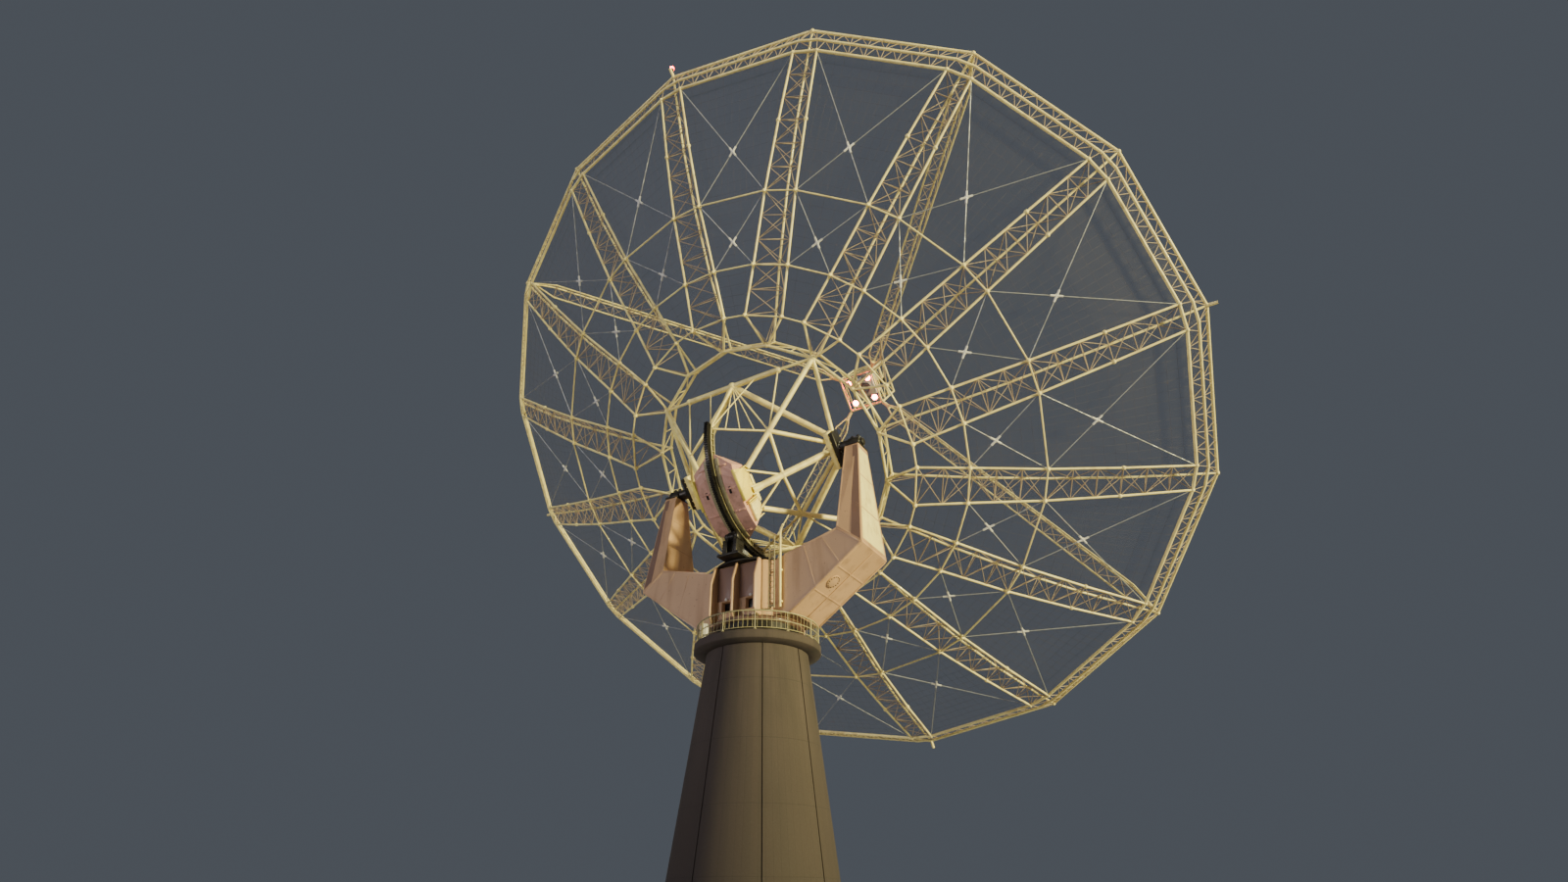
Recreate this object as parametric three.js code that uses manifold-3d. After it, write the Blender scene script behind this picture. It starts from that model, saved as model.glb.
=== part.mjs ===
// Radio telescope dish on a steel yoke and a concrete tower, as a model at half size.
// Lengths below are metres of the full-size telescope. M turns them into model millimetres.
// Row frame: origin at the tower's centre on the ground, Z up, the dish looks toward +Y.
// Dish frame: x to the right and up in the rim's plane, out along the beam, from the elevation axis.
import * as THREE from "three";
import { mergeVertices } from "three/addons/utils/BufferGeometryUtils.js";
import Module from "manifold-3d";

const wasm = await Module();
wasm.setup();

const M = 500;
const GAP = 0.3 / M;
const SLIVER = 0.1 / M;
const V = (x, y, z) => new THREE.Vector3(x, y, z);

// Tower
const TOWER_BASE_RADIUS = 3.78;
const TOWER_TOP_RADIUS = 2.35;
const TOWER_SHAFT_TOP = 11.3;
const TOWER_WALL = 0.35;
const TOWER_FLOOR = 0.3;
const HEAD_RADIUS = 2.94;
const HEAD_EDGE_LOW = 11.37;
const HEAD_TOP = 11.74;
const RAIL_RADIUS = 2.84;
const RAIL_HEIGHT = 0.86;
const RAIL_POSTS = 12;
const RAIL_TUBE = 0.04;
const RAIL_BAR = 0.03;
// Azimuth bearing and drum
const RACE_RADIUS = 1.85;
const RACE_WIDTH = 0.5;
const SLEW_LIP = 0.08;
const SLEW_WIDTH = 0.68;
const RACE_TOP = 12.06;
const DRUM_LOW = 12.45;
const DRUM_TOP = 15.4;
const DRUM_RADIUS = 2.14;
const DRUM_FACE = 1.75;
const DRUM_FLANGE = 2.18;
const FLANGE_LOW = 0.18;
const FLANGE_TOP = 0.12;
const GUSSET_THICK = 0.1;
const GUSSET_X = 1.22;
// Outline of the drum's upright plates: how far they reach to the front or back, and height
const GUSSET_OUTLINE = [[1.6, 12.55], [2.1, 12.55], [2.3, 12.85], [2.3, 14.4], [2, 15.3], [1.6, 15.3]];
// Yoke
const YOKE_HALF_DEPTH = 1.35;
const ARM_ROOT_X = 0.9;
const ARM_ELBOW_IN = [4.98, 16.16];
const ARM_ELBOW_OUT = [6.2, 15.2];
const ARM_LOW = [2.54, 12.66];
const ARM_ROOT_TOP = 15.06;
const HORN_TOP = 20.85;
const HORN_TOP_X = [5.24, 5.95];
const HORN_TOP_HALF_DEPTH = 0.5;
// Ladder and mast on the yoke
const LADDER = [1.84, -1.78];
const LADDER_HALF = 0.14;
const LADDER_LOW = 12.8;
const LADDER_TOP = 16.3;
const LADDER_STEP = 0.62;
const LADDER_CLIPS = [12.9, 15.34];
const MAST_PATH = [[2.12, -1.5, 12.9], [2.12, -1.5, 16.6], [2.35, -1.62, 16.85]];
const MAST_CLIPS = [13.2, 14.7];
// Elevation axis
const AXIS_HEIGHT = 21.18;
const REST_ELEVATION = 45;
const SHAFT_RADIUS = 0.2;
const SHAFT_CLEARANCE = 0.004;
const COLLAR_RADIUS = 0.28;
const BEARING_RADIUS = 0.32;
const BEARING_INSET = 0.04;
const BEARING_HALF_DEPTH = 0.36;
const BEARING_FOOT = 0.1;
const TRUNNION_PLATE = [[4.22, 4.74], [-1, 1], [-0.36, 0.5]];
const TRUNNION_START = 4.6;
// Dish
const RIM_RADIUS = 22.5;
const RIM_OUT = 8.05;
const DISH_DEPTH = 6.6;
const RIBS = 16;
const HUB_RADIUS = 6.6;
const HUB_BACK = 1.0;
// Truss nodes on a rib's two back chords: radius, half spacing of the chords, distance out
const NODE_HUB = [8.18, 1.01, 0.62];
const NODE_RING1 = [10.65, 0.94, 1.67];
const NODE_RING2 = [14.27, 0.85, 3.1];
const NODE_RING3 = [17.8, 0.76, 4.86];
const NODE_INNER = [21.3, 0.67, 6.8];
const NODE_MIDDLE = [21.91, 0.53, 7.29];
const FRONT_RADII = [6.6, 10.65, 14.27, 17.8, 21.3];
const CHORD = 0.075;
const HUB_CHORD = 0.1;
const RIM_CHORD = 0.085;
const MIDDLE_CHORD = 0.075;
const STUB_LENGTH = 0.5;
const STUB_RADIUS = 0.09;
const LACING = 0.035;
const PURLIN = 0.05;
const LEG_FRAMES = 2;
// Where the lamp stands on its stub: beyond the rim's corner, and further out than it
const LAMP_PLACE = [0.4, 0.0817];
// Reflecting mesh
const MESH_RADII = [0.5, 3.5, 6.6, 10.65, 14.27, 17.8, 21.3, 22.12];
const MESH_LIFT = 0.0814;
const MESH_THICK = 0.012;
// Cradle, sector gear and counterweights
const GEAR_RADIUS = 5.03;
const GEAR_HALF_ANGLE = 49;
const GEAR_STEPS = 24;
const GEAR_ROOT = 4.78;
const GEAR_HALF_WIDTH = 0.1;
const FRAME_INNER = 4.45;
const FRAME_HALF_WIDTH = 0.15;
const FRAME_END_RADIUS = 4.6;
const PINION_ANGLE = -116.5;
const PINION_RADIUS = 0.23;
const PINION_PLAY = 0.012;
const CW_OUTER = 4.72;
const CW_INNER = 3.75;
const CW_X = [0.2, 1.1];
const CW_HALF_ANGLES = [29, 20];
// End panels of the weights: their outer face, and their corners as up and out
const PANEL_X = 1.28;
const PANEL_UPPER = [[1.4, -4.72], [1.07, -3.5], [-0.22, -3.5], [-0.22, -4.72]];
const PANEL_LOWER = [[-0.5, -4.4], [-0.5, -3.5], [-1.07, -3.5], [-1.4, -4.4]];
const TIE_HALF = 0.7;
const TIE_OUT = [-3.6, -3.3];
// Joints of the cradle's tubes in the upper right quarter: x, up and out
const PANEL_CORNER = [1.3, 1.07, -3.56];
const PANEL_MIDDLE = [1.3, 0, -3.8];
const KNOT = [2.392, 2.236, -2.081];
const SIDE_KNOT = [2.393, 0, -2.415];
const CROSSBAR = [2.82, 4.73, 0.56];
// Feed
const CAGE_HALF = 1.3;
const CAGE_POST = 0.08;
const CAGE_LOW = 19.6;
const CAGE_TOP = 23.4;
const TURRET_OUT = 21.75;
const SLEEVE = 0.1;
const SLEEVE_RADIUS = 0.2;
const TURRET_HALF = 0.72;
const TURRET_SHAFT = 0.1;
const TURRET_SHOULDER = 0.17;

const DISH = new THREE.Matrix4()
  .makeTranslation(0, 0, AXIS_HEIGHT)
  .multiply(new THREE.Matrix4().makeRotationX(THREE.MathUtils.degToRad(REST_ELEVATION - 90)));
const at = (x, up, out) => V(x, -up, out).applyMatrix4(DISH);
const OUTWARD = V(0, 0, 1).transformDirection(DISH);
const turned = (angle) => [Math.cos(angle), Math.sin(angle)];
const ribAngle = (k) => (k * 2 * Math.PI) / RIBS;
const onRib = (angle, r, w, out) => {
  const [c, s] = turned(angle);
  return at(r * c - w * s, r * s + w * c, out);
};
const frontOut = (r) => RIM_OUT - DISH_DEPTH + DISH_DEPTH * (r / RIM_RADIUS) ** 2;

// A closed geometry as a solid that can be joined and cut.
function solidOf(geometry) {
  const bare = new THREE.BufferGeometry().setAttribute("position", geometry.getAttribute("position"));
  if (geometry.index) bare.setIndex(geometry.index);
  const merged = mergeVertices(bare, 1e-5);
  return new wasm.Manifold(
    new wasm.Mesh({
      numProp: 3,
      vertProperties: merged.attributes.position.array,
      triVerts: new Uint32Array(merged.index.array),
    }),
  );
}

// Rows of corners joined into a closed skin: each row is one section, walked the same way round.
function loft(rows, closed) {
  const n = rows[0].length;
  const index = [];
  const last = closed ? rows.length : rows.length - 1;
  for (let i = 0; i < last; i++) {
    const a = i * n;
    const b = ((i + 1) % rows.length) * n;
    for (let j = 0; j < n; j++) {
      const k = (j + 1) % n;
      index.push(a + j, a + k, b + k, a + j, b + k, b + j);
    }
  }
  if (!closed) {
    const e = (rows.length - 1) * n;
    for (let j = 1; j < n - 1; j++) index.push(0, j + 1, j, e, e + j, e + j + 1);
  }
  const geometry = new THREE.BufferGeometry().setFromPoints(rows.flat()).setIndex(index);
  const solid = solidOf(geometry);
  if (solid.volume() > 0) return solid;
  for (let i = 0; i < index.length; i += 3) [index[i + 1], index[i + 2]] = [index[i + 2], index[i + 1]];
  return solidOf(geometry.setIndex(index));
}

// A bar of few sides along a path, mitred where the path bends.
function bar(path, radius, sides = 4, up = V(0, 0, 1)) {
  const dirs = path.slice(1).map((p, i) => p.clone().sub(path[i]).normalize());
  const side = V(0, 0, 0).crossVectors(up, dirs[0]).normalize();
  const top = V(0, 0, 0).crossVectors(dirs[0], side);
  let row = [];
  for (let j = 0; j < sides; j++) {
    const t = ((j + 0.5) * 2 * Math.PI) / sides;
    const [c, s] = [Math.cos(t) * radius, Math.sin(t) * radius];
    row.push(path[0].clone().addScaledVector(side, c).addScaledVector(top, s));
  }
  const rows = [row];
  for (let i = 1; i < path.length; i++) {
    const d = dirs[i - 1];
    const normal = i < dirs.length ? d.clone().add(dirs[i]) : d.clone();
    const far = normal.dot(path[i]);
    row = row.map((p) => p.clone().addScaledVector(d, (far - normal.dot(p)) / normal.dot(d)));
    rows.push(row);
  }
  return loft(rows, false);
}

// A closed ring of straight bars through points in one plane.
function hoop(points, radius, sides, normal) {
  const n = points.length;
  const rows = points.map((p, i) => {
    const a = p.clone().sub(points[(i + n - 1) % n]).normalize();
    const b = points[(i + 1) % n].clone().sub(p).normalize();
    const outward = V(0, 0, 0).crossVectors(a.clone().add(b), normal).normalize();
    const stretch = 1 / Math.sqrt((1 + a.dot(b)) / 2);
    return Array.from({ length: sides }, (_, j) => {
      const t = ((j + 0.5) * 2 * Math.PI) / sides;
      return p
        .clone()
        .addScaledVector(normal, Math.sin(t) * radius)
        .addScaledVector(outward, Math.cos(t) * radius * stretch);
    });
  });
  return loft(rows, true);
}

const join = (solids) => solids.reduce((a, b) => a.add(b));
// Cuts room for its neighbours out of a piece and keeps the main body of what is left.
function cut(solid, others) {
  const left = others.reduce((a, b) => a.subtract(b), solid);
  return left.decompose().sort((a, b) => b.volume() - a.volume())[0];
}

// A member is a path with a radius, so that a thicker copy can cut room for it in its neighbour.
const member = (path, radius, sides, up) => ({ path, radius, sides, up });
const members = (list, extra = 0) => join(list.map((m) => bar(m.path, m.radius + extra, m.sides, m.up)));

function box(x0, x1, y0, y1, z0, z1) {
  const g = new THREE.BoxGeometry(x1 - x0, y1 - y0, z1 - z0);
  return g.translate((x0 + x1) / 2, (y0 + y1) / 2, (z0 + z1) / 2);
}
const block = (...sides) => solidOf(box(...sides));
// The same box given in the dish frame: x, up and out.
function dishBlock(x0, x1, up0, up1, out0, out1) {
  return solidOf(box(x0, x1, -up1, -up0, out0, out1).applyMatrix4(DISH));
}
// A turned shape about the vertical axis from radius and height pairs.
function turnedShape(profile, segments = 32) {
  const points = profile.map(([r, z]) => new THREE.Vector2(r, z));
  const solid = solidOf(new THREE.LatheGeometry(points, segments).rotateX(Math.PI / 2));
  if (solid.volume() > 0) return solid;
  return solidOf(new THREE.LatheGeometry(points.reverse(), segments).rotateX(Math.PI / 2));
}
// A round bar along X about a point in the Y and Z plane.
function axle(x0, x1, y, z, radius, segments = 24) {
  const g = new THREE.CylinderGeometry(radius, radius, x1 - x0, segments).rotateZ(Math.PI / 2);
  return solidOf(g.translate((x0 + x1) / 2, y, z));
}
const mirrorX = (solid) => {
  const { vertProperties, triVerts } = solid.getMesh();
  const flipped = vertProperties.map((v, i) => (i % 3 ? v : -v));
  for (let i = 0; i < triVerts.length; i += 3) {
    [triVerts[i + 1], triVerts[i + 2]] = [triVerts[i + 2], triVerts[i + 1]];
  }
  return new wasm.Manifold(new wasm.Mesh({ numProp: 3, vertProperties: flipped, triVerts }));
};

const part = new THREE.Group();
part.name = "radio_telescope_dish";
const CONCRETE = 0x8f867a;
const YOKE_PAINT = 0xc9b48c;
const TUBE_PAINT = 0xd8cfae;
const DARK_STEEL = 0x2b2926;
const WIRE = 0xb9bcc0;
const FEED_METAL = 0xcfd2d4;
const LAMP_RED = 0xc02018;

function addPiece(name, solid, color) {
  const { vertProperties, triVerts } = solid.simplify(SLIVER).getMesh();
  const geometry = new THREE.BufferGeometry();
  geometry.setAttribute("position", new THREE.BufferAttribute(vertProperties.map((v) => v * M), 3));
  geometry.setIndex(new THREE.BufferAttribute(triVerts, 1));
  const mesh = new THREE.Mesh(geometry, new THREE.MeshStandardMaterial({ color, roughness: 0.7 }));
  mesh.name = name;
  part.add(mesh);
}

function addTower() {
  const wall = TOWER_WALL;
  const taper = (TOWER_BASE_RADIUS - TOWER_TOP_RADIUS) / TOWER_SHAFT_TOP;
  const floorInner = TOWER_BASE_RADIUS - wall - taper * TOWER_FLOOR;
  const shaft = turnedShape([
    [0, 0],
    [TOWER_BASE_RADIUS, 0],
    [TOWER_TOP_RADIUS, TOWER_SHAFT_TOP],
    [TOWER_TOP_RADIUS - wall, TOWER_SHAFT_TOP],
    [floorInner, TOWER_FLOOR],
    [0, TOWER_FLOOR],
  ]);
  addPiece("tower_shaft", shaft, CONCRETE);
  const head = turnedShape([
    [0, TOWER_SHAFT_TOP + GAP],
    [TOWER_TOP_RADIUS, TOWER_SHAFT_TOP + GAP],
    [HEAD_RADIUS, HEAD_EDGE_LOW],
    [HEAD_RADIUS, HEAD_TOP],
    [0, HEAD_TOP],
  ]);
  addPiece("tower_head", head, CONCRETE);
  const race = turnedShape([
    [RACE_RADIUS - RACE_WIDTH, HEAD_TOP + GAP],
    [RACE_RADIUS, HEAD_TOP + GAP],
    [RACE_RADIUS, RACE_TOP],
    [RACE_RADIUS - RACE_WIDTH, RACE_TOP],
    [RACE_RADIUS - RACE_WIDTH, HEAD_TOP + GAP],
  ]);
  addPiece("azimuth_bearing", race, DARK_STEEL);
  addPiece("gallery_railing", galleryRailing(), TUBE_PAINT);
}

function galleryRailing() {
  const post = (k) => turned((k * 2 * Math.PI) / RAIL_POSTS).map((v) => v * RAIL_RADIUS);
  const spots = Array.from({ length: RAIL_POSTS }, (_, k) => post(k));
  const ring = (z, r) => hoop(spots.map(([x, y]) => V(x, y, z)), r, 4, V(0, 0, 1));
  const posts = spots.map(([x, y]) => {
    const path = [V(x, y, HEAD_TOP + GAP), V(x, y, HEAD_TOP + RAIL_HEIGHT)];
    return bar(path, RAIL_BAR, 3, V(x, y, 0));
  });
  const rails = [ring(HEAD_TOP + RAIL_HEIGHT, RAIL_TUBE), ring(HEAD_TOP + RAIL_HEIGHT / 2, RAIL_BAR)];
  return join([...rails, ...posts]);
}

// The drum: a core with a flat front and back between two flanges.
// The larger copy trims the arms and the ladder, also above its top.
function drumSolid(extra) {
  const top = extra ? DRUM_TOP + 1 : DRUM_TOP;
  const disc = (r, z0, z1) => turnedShape([[0, z0], [r, z0], [r, z1], [0, z1]]);
  const [core, flange, face] = [DRUM_RADIUS + extra, DRUM_FLANGE + extra, DRUM_FACE + extra];
  return join([
    disc(core, DRUM_LOW, top).intersect(block(-core, core, -face, face, DRUM_LOW, top)),
    disc(flange, DRUM_LOW, DRUM_LOW + FLANGE_LOW + extra),
    disc(flange, DRUM_TOP - FLANGE_TOP - extra, top),
  ]);
}

function addYoke() {
  const slewRadius = RACE_RADIUS + SLEW_LIP;
  const turn = turnedShape([
    [slewRadius - SLEW_WIDTH, RACE_TOP + GAP],
    [slewRadius, RACE_TOP + GAP],
    [slewRadius, DRUM_LOW - GAP],
    [slewRadius - SLEW_WIDTH, DRUM_LOW - GAP],
    [slewRadius - SLEW_WIDTH, RACE_TOP + GAP],
  ]);
  addPiece("slewing_ring", turn, DARK_STEEL);
  const gussets = [];
  for (const side of [-1, 1]) {
    for (const x of [-GUSSET_X, 0, GUSSET_X]) {
      const face = (shift) => GUSSET_OUTLINE.map(([y, z]) => V(x + shift * GUSSET_THICK, side * y, z));
      gussets.push(loft([face(-0.5), face(0.5)], false));
    }
  }
  addPiece("yoke_drum", join([drumSolid(0), ...gussets]), YOKE_PAINT);
  const [inX, inZ] = ARM_ELBOW_IN;
  const [outX, outZ] = ARM_ELBOW_OUT;
  const outline = [[ARM_ROOT_X, ARM_LOW[1]], ARM_LOW, [outX, outZ], [inX, inZ], [ARM_ROOT_X, ARM_ROOT_TOP]];
  const section = (y) => outline.map(([x, z]) => V(x, y, z));
  const arm = loft([section(-YOKE_HALF_DEPTH), section(YOKE_HALF_DEPTH)], false).subtract(drumSolid(GAP));
  const lift = GAP * 1.3;
  const d = YOKE_HALF_DEPTH;
  const t = HORN_TOP_HALF_DEPTH;
  const [inFoot, outFoot] = [inZ + lift, outZ + lift];
  const foot = [V(inX, -d, inFoot), V(outX, -d, outFoot), V(outX, d, outFoot), V(inX, d, inFoot)];
  const [x0, x1] = HORN_TOP_X;
  const top = [V(x0, -t, HORN_TOP), V(x1, -t, HORN_TOP), V(x1, t, HORN_TOP), V(x0, t, HORN_TOP)];
  const horn = loft([foot, top], false);
  const seat = HORN_TOP + GAP;
  const face = x0 + BEARING_INSET;
  const bearing = join([
    block(face, x1 + 0.02, -t - 0.08, t + 0.08, seat, seat + BEARING_FOOT),
    block(face, x1 - 0.06, -BEARING_HALF_DEPTH, BEARING_HALF_DEPTH, seat + BEARING_FOOT / 2, AXIS_HEIGHT),
    axle(face, x1 - BEARING_INSET, 0, AXIS_HEIGHT, BEARING_RADIUS),
  ]).subtract(axle(x0 - 1, x1 + 1, 0, AXIS_HEIGHT, SHAFT_RADIUS + SHAFT_CLEARANCE));
  for (const [side, place] of [["right", (s) => s], ["left", mirrorX]]) {
    addPiece("yoke_arm_" + side, place(arm), YOKE_PAINT);
    addPiece("yoke_horn_" + side, place(horn), YOKE_PAINT);
    addPiece("bearing_block_" + side, place(bearing), DARK_STEEL);
  }
  addPiece("elevation_drive", elevationDrive(), DARK_STEEL);
  addPiece("access_ladder", accessLadder(), TUBE_PAINT);
  addPiece("cable_mast", cableMast(), TUBE_PAINT);
}

function elevationDrive() {
  const angle = THREE.MathUtils.degToRad(PINION_ANGLE);
  const away = GEAR_RADIUS + PINION_RADIUS + PINION_PLAY;
  const [y, z] = [away * Math.cos(angle), AXIS_HEIGHT + away * Math.sin(angle)];
  const seat = DRUM_TOP + GAP;
  const bed = 0.12;
  const [inner, outer] = [0.15, 0.4];
  const housing = 0.2;
  const solids = [block(-0.6, 0.6, y - 0.4, y + 0.65, seat, seat + bed)];
  for (const [x0, x1] of [[-outer, -inner], [inner, outer]]) {
    solids.push(block(x0, x1, y - 0.28, y + 0.4, seat + bed / 2, z - housing));
    solids.push(axle(x0, x1, y, z, housing, 16));
    solids.push(block(x0, x1, y - housing * 0.9, y + housing * 0.9, z - housing * 1.5, z));
  }
  solids.push(axle(-inner - 0.03, inner + 0.03, y, z, PINION_RADIUS, 20));
  return join(solids);
}

function accessLadder() {
  const [cx, cy] = LADDER;
  const across = (z, radius) => bar([V(cx - LADDER_HALF, cy, z), V(cx + LADDER_HALF, cy, z)], radius, 4);
  const stile = (x) => bar([V(x, cy, LADDER_LOW), V(x, cy, LADDER_TOP)], 0.035, 4, V(1, 0, 0));
  const pieces = [stile(cx - LADDER_HALF), stile(cx + LADDER_HALF)];
  for (let z = LADDER_LOW + 0.3; z < LADDER_TOP - 0.1; z += LADDER_STEP) pieces.push(across(z, 0.022));
  for (const z of LADDER_CLIPS) {
    pieces.push(across(z, 0.03), bar([V(cx, cy, z), V(cx * 0.6, cy * 0.6, z)], 0.04, 4));
  }
  return cut(join(pieces), [drumSolid(GAP)]);
}

function cableMast() {
  const [x, y] = MAST_PATH[0];
  const pole = bar(MAST_PATH.map((p) => V(...p)), 0.055, 6, V(1, 0, 0));
  const clips = MAST_CLIPS.map((z) => bar([V(x, y, z), V(x, -YOKE_HALF_DEPTH - GAP, z)], 0.05, 4));
  return join([pole, ...clips]);
}

// The hub: two sixteen-sided rings with posts and one diagonal in each bay.
function hubMembers() {
  const front = frontOut(HUB_RADIUS);
  const node = (k, out) => onRib(ribAngle(k), HUB_RADIUS, 0, out);
  const list = [];
  for (let k = 0; k < RIBS; k++) {
    list.push(member([node(k, HUB_BACK), node(k, front)], 0.055, 3, V(1, 0, 0)));
  }
  const zigzag = Array.from({ length: RIBS + 1 }, (_, k) => node(k, k % 2 ? front : HUB_BACK));
  list.push(member(zigzag, 0.05, 3, OUTWARD));
  return list;
}
const ringPoints = (r, out) => Array.from({ length: RIBS }, (_, k) => onRib(ribAngle(k), r, 0, out));
const pairPoints = ([r, w, out]) => {
  const pair = (k) => [onRib(ribAngle(k), r, -w, out), onRib(ribAngle(k), r, w, out)];
  return Array.from({ length: RIBS }, (_, k) => pair(k)).flat();
};
const hubSolid = () =>
  join([
    hoop(ringPoints(HUB_RADIUS, HUB_BACK), HUB_CHORD, 4, OUTWARD),
    hoop(ringPoints(HUB_RADIUS, frontOut(HUB_RADIUS)), HUB_CHORD, 4, OUTWARD),
    members(hubMembers()),
  ]);

// One quarter of the rim: three chords, frames and a stub at the quarter's second corner.
function rimMembers(quarter) {
  const list = [];
  const start = ribAngle(quarter * 4 - 1);
  const half = Math.PI / RIBS;
  const corner = (k) => start + ribAngle(k);
  const near = GAP / 2 / RIM_RADIUS;
  const edge = (r, angle) => onRib(angle, r * Math.cos(half), 0, 0);
  const chordPath = (node) => {
    const [r, w, out] = node;
    const ends = [corner(0) - half + near, corner(3) + half - near];
    const reach = w ? r * Math.cos(half) + w * Math.sin(half) : r * Math.cos(half);
    const path = [onRib(ends[0], reach, 0, out)];
    for (let k = 0; k < 4; k++) {
      if (w) path.push(onRib(corner(k), r, -w, out), onRib(corner(k), r, w, out));
      else path.push(onRib(corner(k), r, 0, out));
    }
    path.push(onRib(ends[1], reach, 0, out));
    return path;
  };
  const rim = [RIM_RADIUS, 0, RIM_OUT];
  list.push(member(chordPath(rim), RIM_CHORD, 4, OUTWARD));
  list.push(member(chordPath(NODE_MIDDLE), MIDDLE_CHORD, 4, OUTWARD));
  list.push(member(chordPath(NODE_INNER), RIM_CHORD, 4, OUTWARD));
  for (let k = 0; k < 5; k++) {
    const shift = [0.4, 0, 0, 0, -0.4][k];
    const angle = corner(k) - half;
    const place = ([r, w, out]) => onRib(angle, r * Math.cos(half) + w * Math.sin(half), shift, out);
    const spots = [NODE_INNER, NODE_MIDDLE, rim].map(place);
    list.push(member(spots, LACING * 1.3, 3, OUTWARD));
  }
  const tip = onRib(corner(1), RIM_RADIUS + STUB_LENGTH, 0, RIM_OUT - STUB_LENGTH / 10);
  list.push(member([onRib(corner(1), RIM_RADIUS, 0, RIM_OUT), tip], STUB_RADIUS, 4, OUTWARD));
  return list;
}

function ribMembers(k) {
  const a = ribAngle(k);
  const list = [];
  const front = FRONT_RADII.map((r) => onRib(a, r, 0, frontOut(r)));
  front.push(onRib(a, RIM_RADIUS - 0.02, 0, frontOut(RIM_RADIUS - 0.02)));
  list.push(member(front, CHORD, 4, OUTWARD));
  const stations = [NODE_HUB, NODE_RING1, NODE_RING2, NODE_RING3, NODE_INNER];
  for (const s of [-1, 1]) {
    const back = stations.map(([r, w, out]) => onRib(a, r, s * w, out));
    list.push(member([onRib(a, HUB_RADIUS, s * 0.08, HUB_BACK), ...back], CHORD, 4, OUTWARD));
  }
  for (const [r, w, out] of stations.slice(0, 3)) {
    const [p, q] = [onRib(a, r, -w, out), onRib(a, r, w, out)];
    const top = onRib(a, r, 0, frontOut(r));
    list.push(member([p, top, q], LACING, 3, OUTWARD));
  }
  return list;
}

// A block square to one rib line, given by radius and distance out, wide enough to trim a rib.
function ribBlock(angle, r0, r1, out0, out1, half = 3) {
  const g = box(r0, r1, -half, half, out0, out1);
  g.rotateZ(-angle).applyMatrix4(DISH);
  return solidOf(g);
}
function ribSolid(k) {
  const a = ribAngle(k);
  const slope = Math.tan(Math.PI / RIBS);
  const start = HUB_RADIUS + HUB_CHORD * Math.SQRT1_2 * 1.03 + GAP;
  const end = RIM_RADIUS - RIM_CHORD * 0.721 - CHORD * 0.72 * slope - GAP;
  const inner = NODE_INNER[0] - RIM_CHORD * 0.7072 - CHORD * 0.84 * slope - GAP;
  return cut(members(ribMembers(k)), [
    ribBlock(a, start - 2, start, -1, 4),
    ribBlock(a, end, end + 2, 5, 10),
    ribBlock(a, inner, inner + 2, 4, frontOut(inner) - CHORD - 0.03),
  ]);
}

function legLattice(k) {
  const a = Math.PI / 4 + (k * Math.PI) / 2;
  const foot = onRib(a, RIM_RADIUS - 0.03, 0, RIM_OUT + 0.3);
  const head = onRib(a, CAGE_HALF * Math.SQRT2 + 0.12, 0, CAGE_LOW);
  const along = head.clone().sub(foot);
  const length = along.length();
  along.normalize();
  const [c, s] = turned(a + Math.PI / 2);
  const across = at(c, s, 0).sub(at(0, 0, 0));
  const lift = V(0, 0, 0).crossVectors(along, across).normalize();
  if (lift.dot(OUTWARD) < 0) lift.negate();
  const spots = [
    [0, 0.58],
    [-0.45, -0.2],
    [0.45, -0.2],
  ];
  const point = (d, [x, y]) => {
    return foot.clone().addScaledVector(along, d).addScaledVector(across, x).addScaledVector(lift, y);
  };
  const list = spots.map((spot) => {
    const near = spot.map((v) => v * 0.1);
    const path = [point(0.3, near), point(1.7, spot), point(length - 1.5, spot), point(length - 0.4, near)];
    return member(path, 0.06, 3, lift);
  });
  for (let i = 0; i <= LEG_FRAMES; i++) {
    const d = 1.7 + ((length - 3.2) * i) / LEG_FRAMES;
    for (let j = 0; j < 3; j++) {
      list.push(member([point(d, spots[j]), point(d, spots[(j + 1) % 3])], LACING, 3, OUTWARD));
    }
  }
  list.push(member([onRib(a, RIM_RADIUS, 0, RIM_OUT - 0.02), point(0.55, [0, 0.01])], 0.15, 6, across));
  list.push(member([point(length - 0.65, [0, 0.01]), point(length + 0.12, [0, 0])], 0.15, 6, across));
  return members(list);
}

function legSolid(k) {
  const a = Math.PI / 4 + (k * Math.PI) / 2;
  const seat = RIM_OUT + RIM_CHORD * Math.SQRT1_2 + GAP;
  const end = CAGE_HALF * Math.SQRT2 + CAGE_POST + GAP;
  return cut(legLattice(k), [
    ribBlock(a, RIM_RADIUS - 5, RIM_RADIUS + 3, seat - 3, seat),
    ribBlock(a, end - 2, end, CAGE_LOW - 3, CAGE_LOW + 3),
  ]);
}

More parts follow.
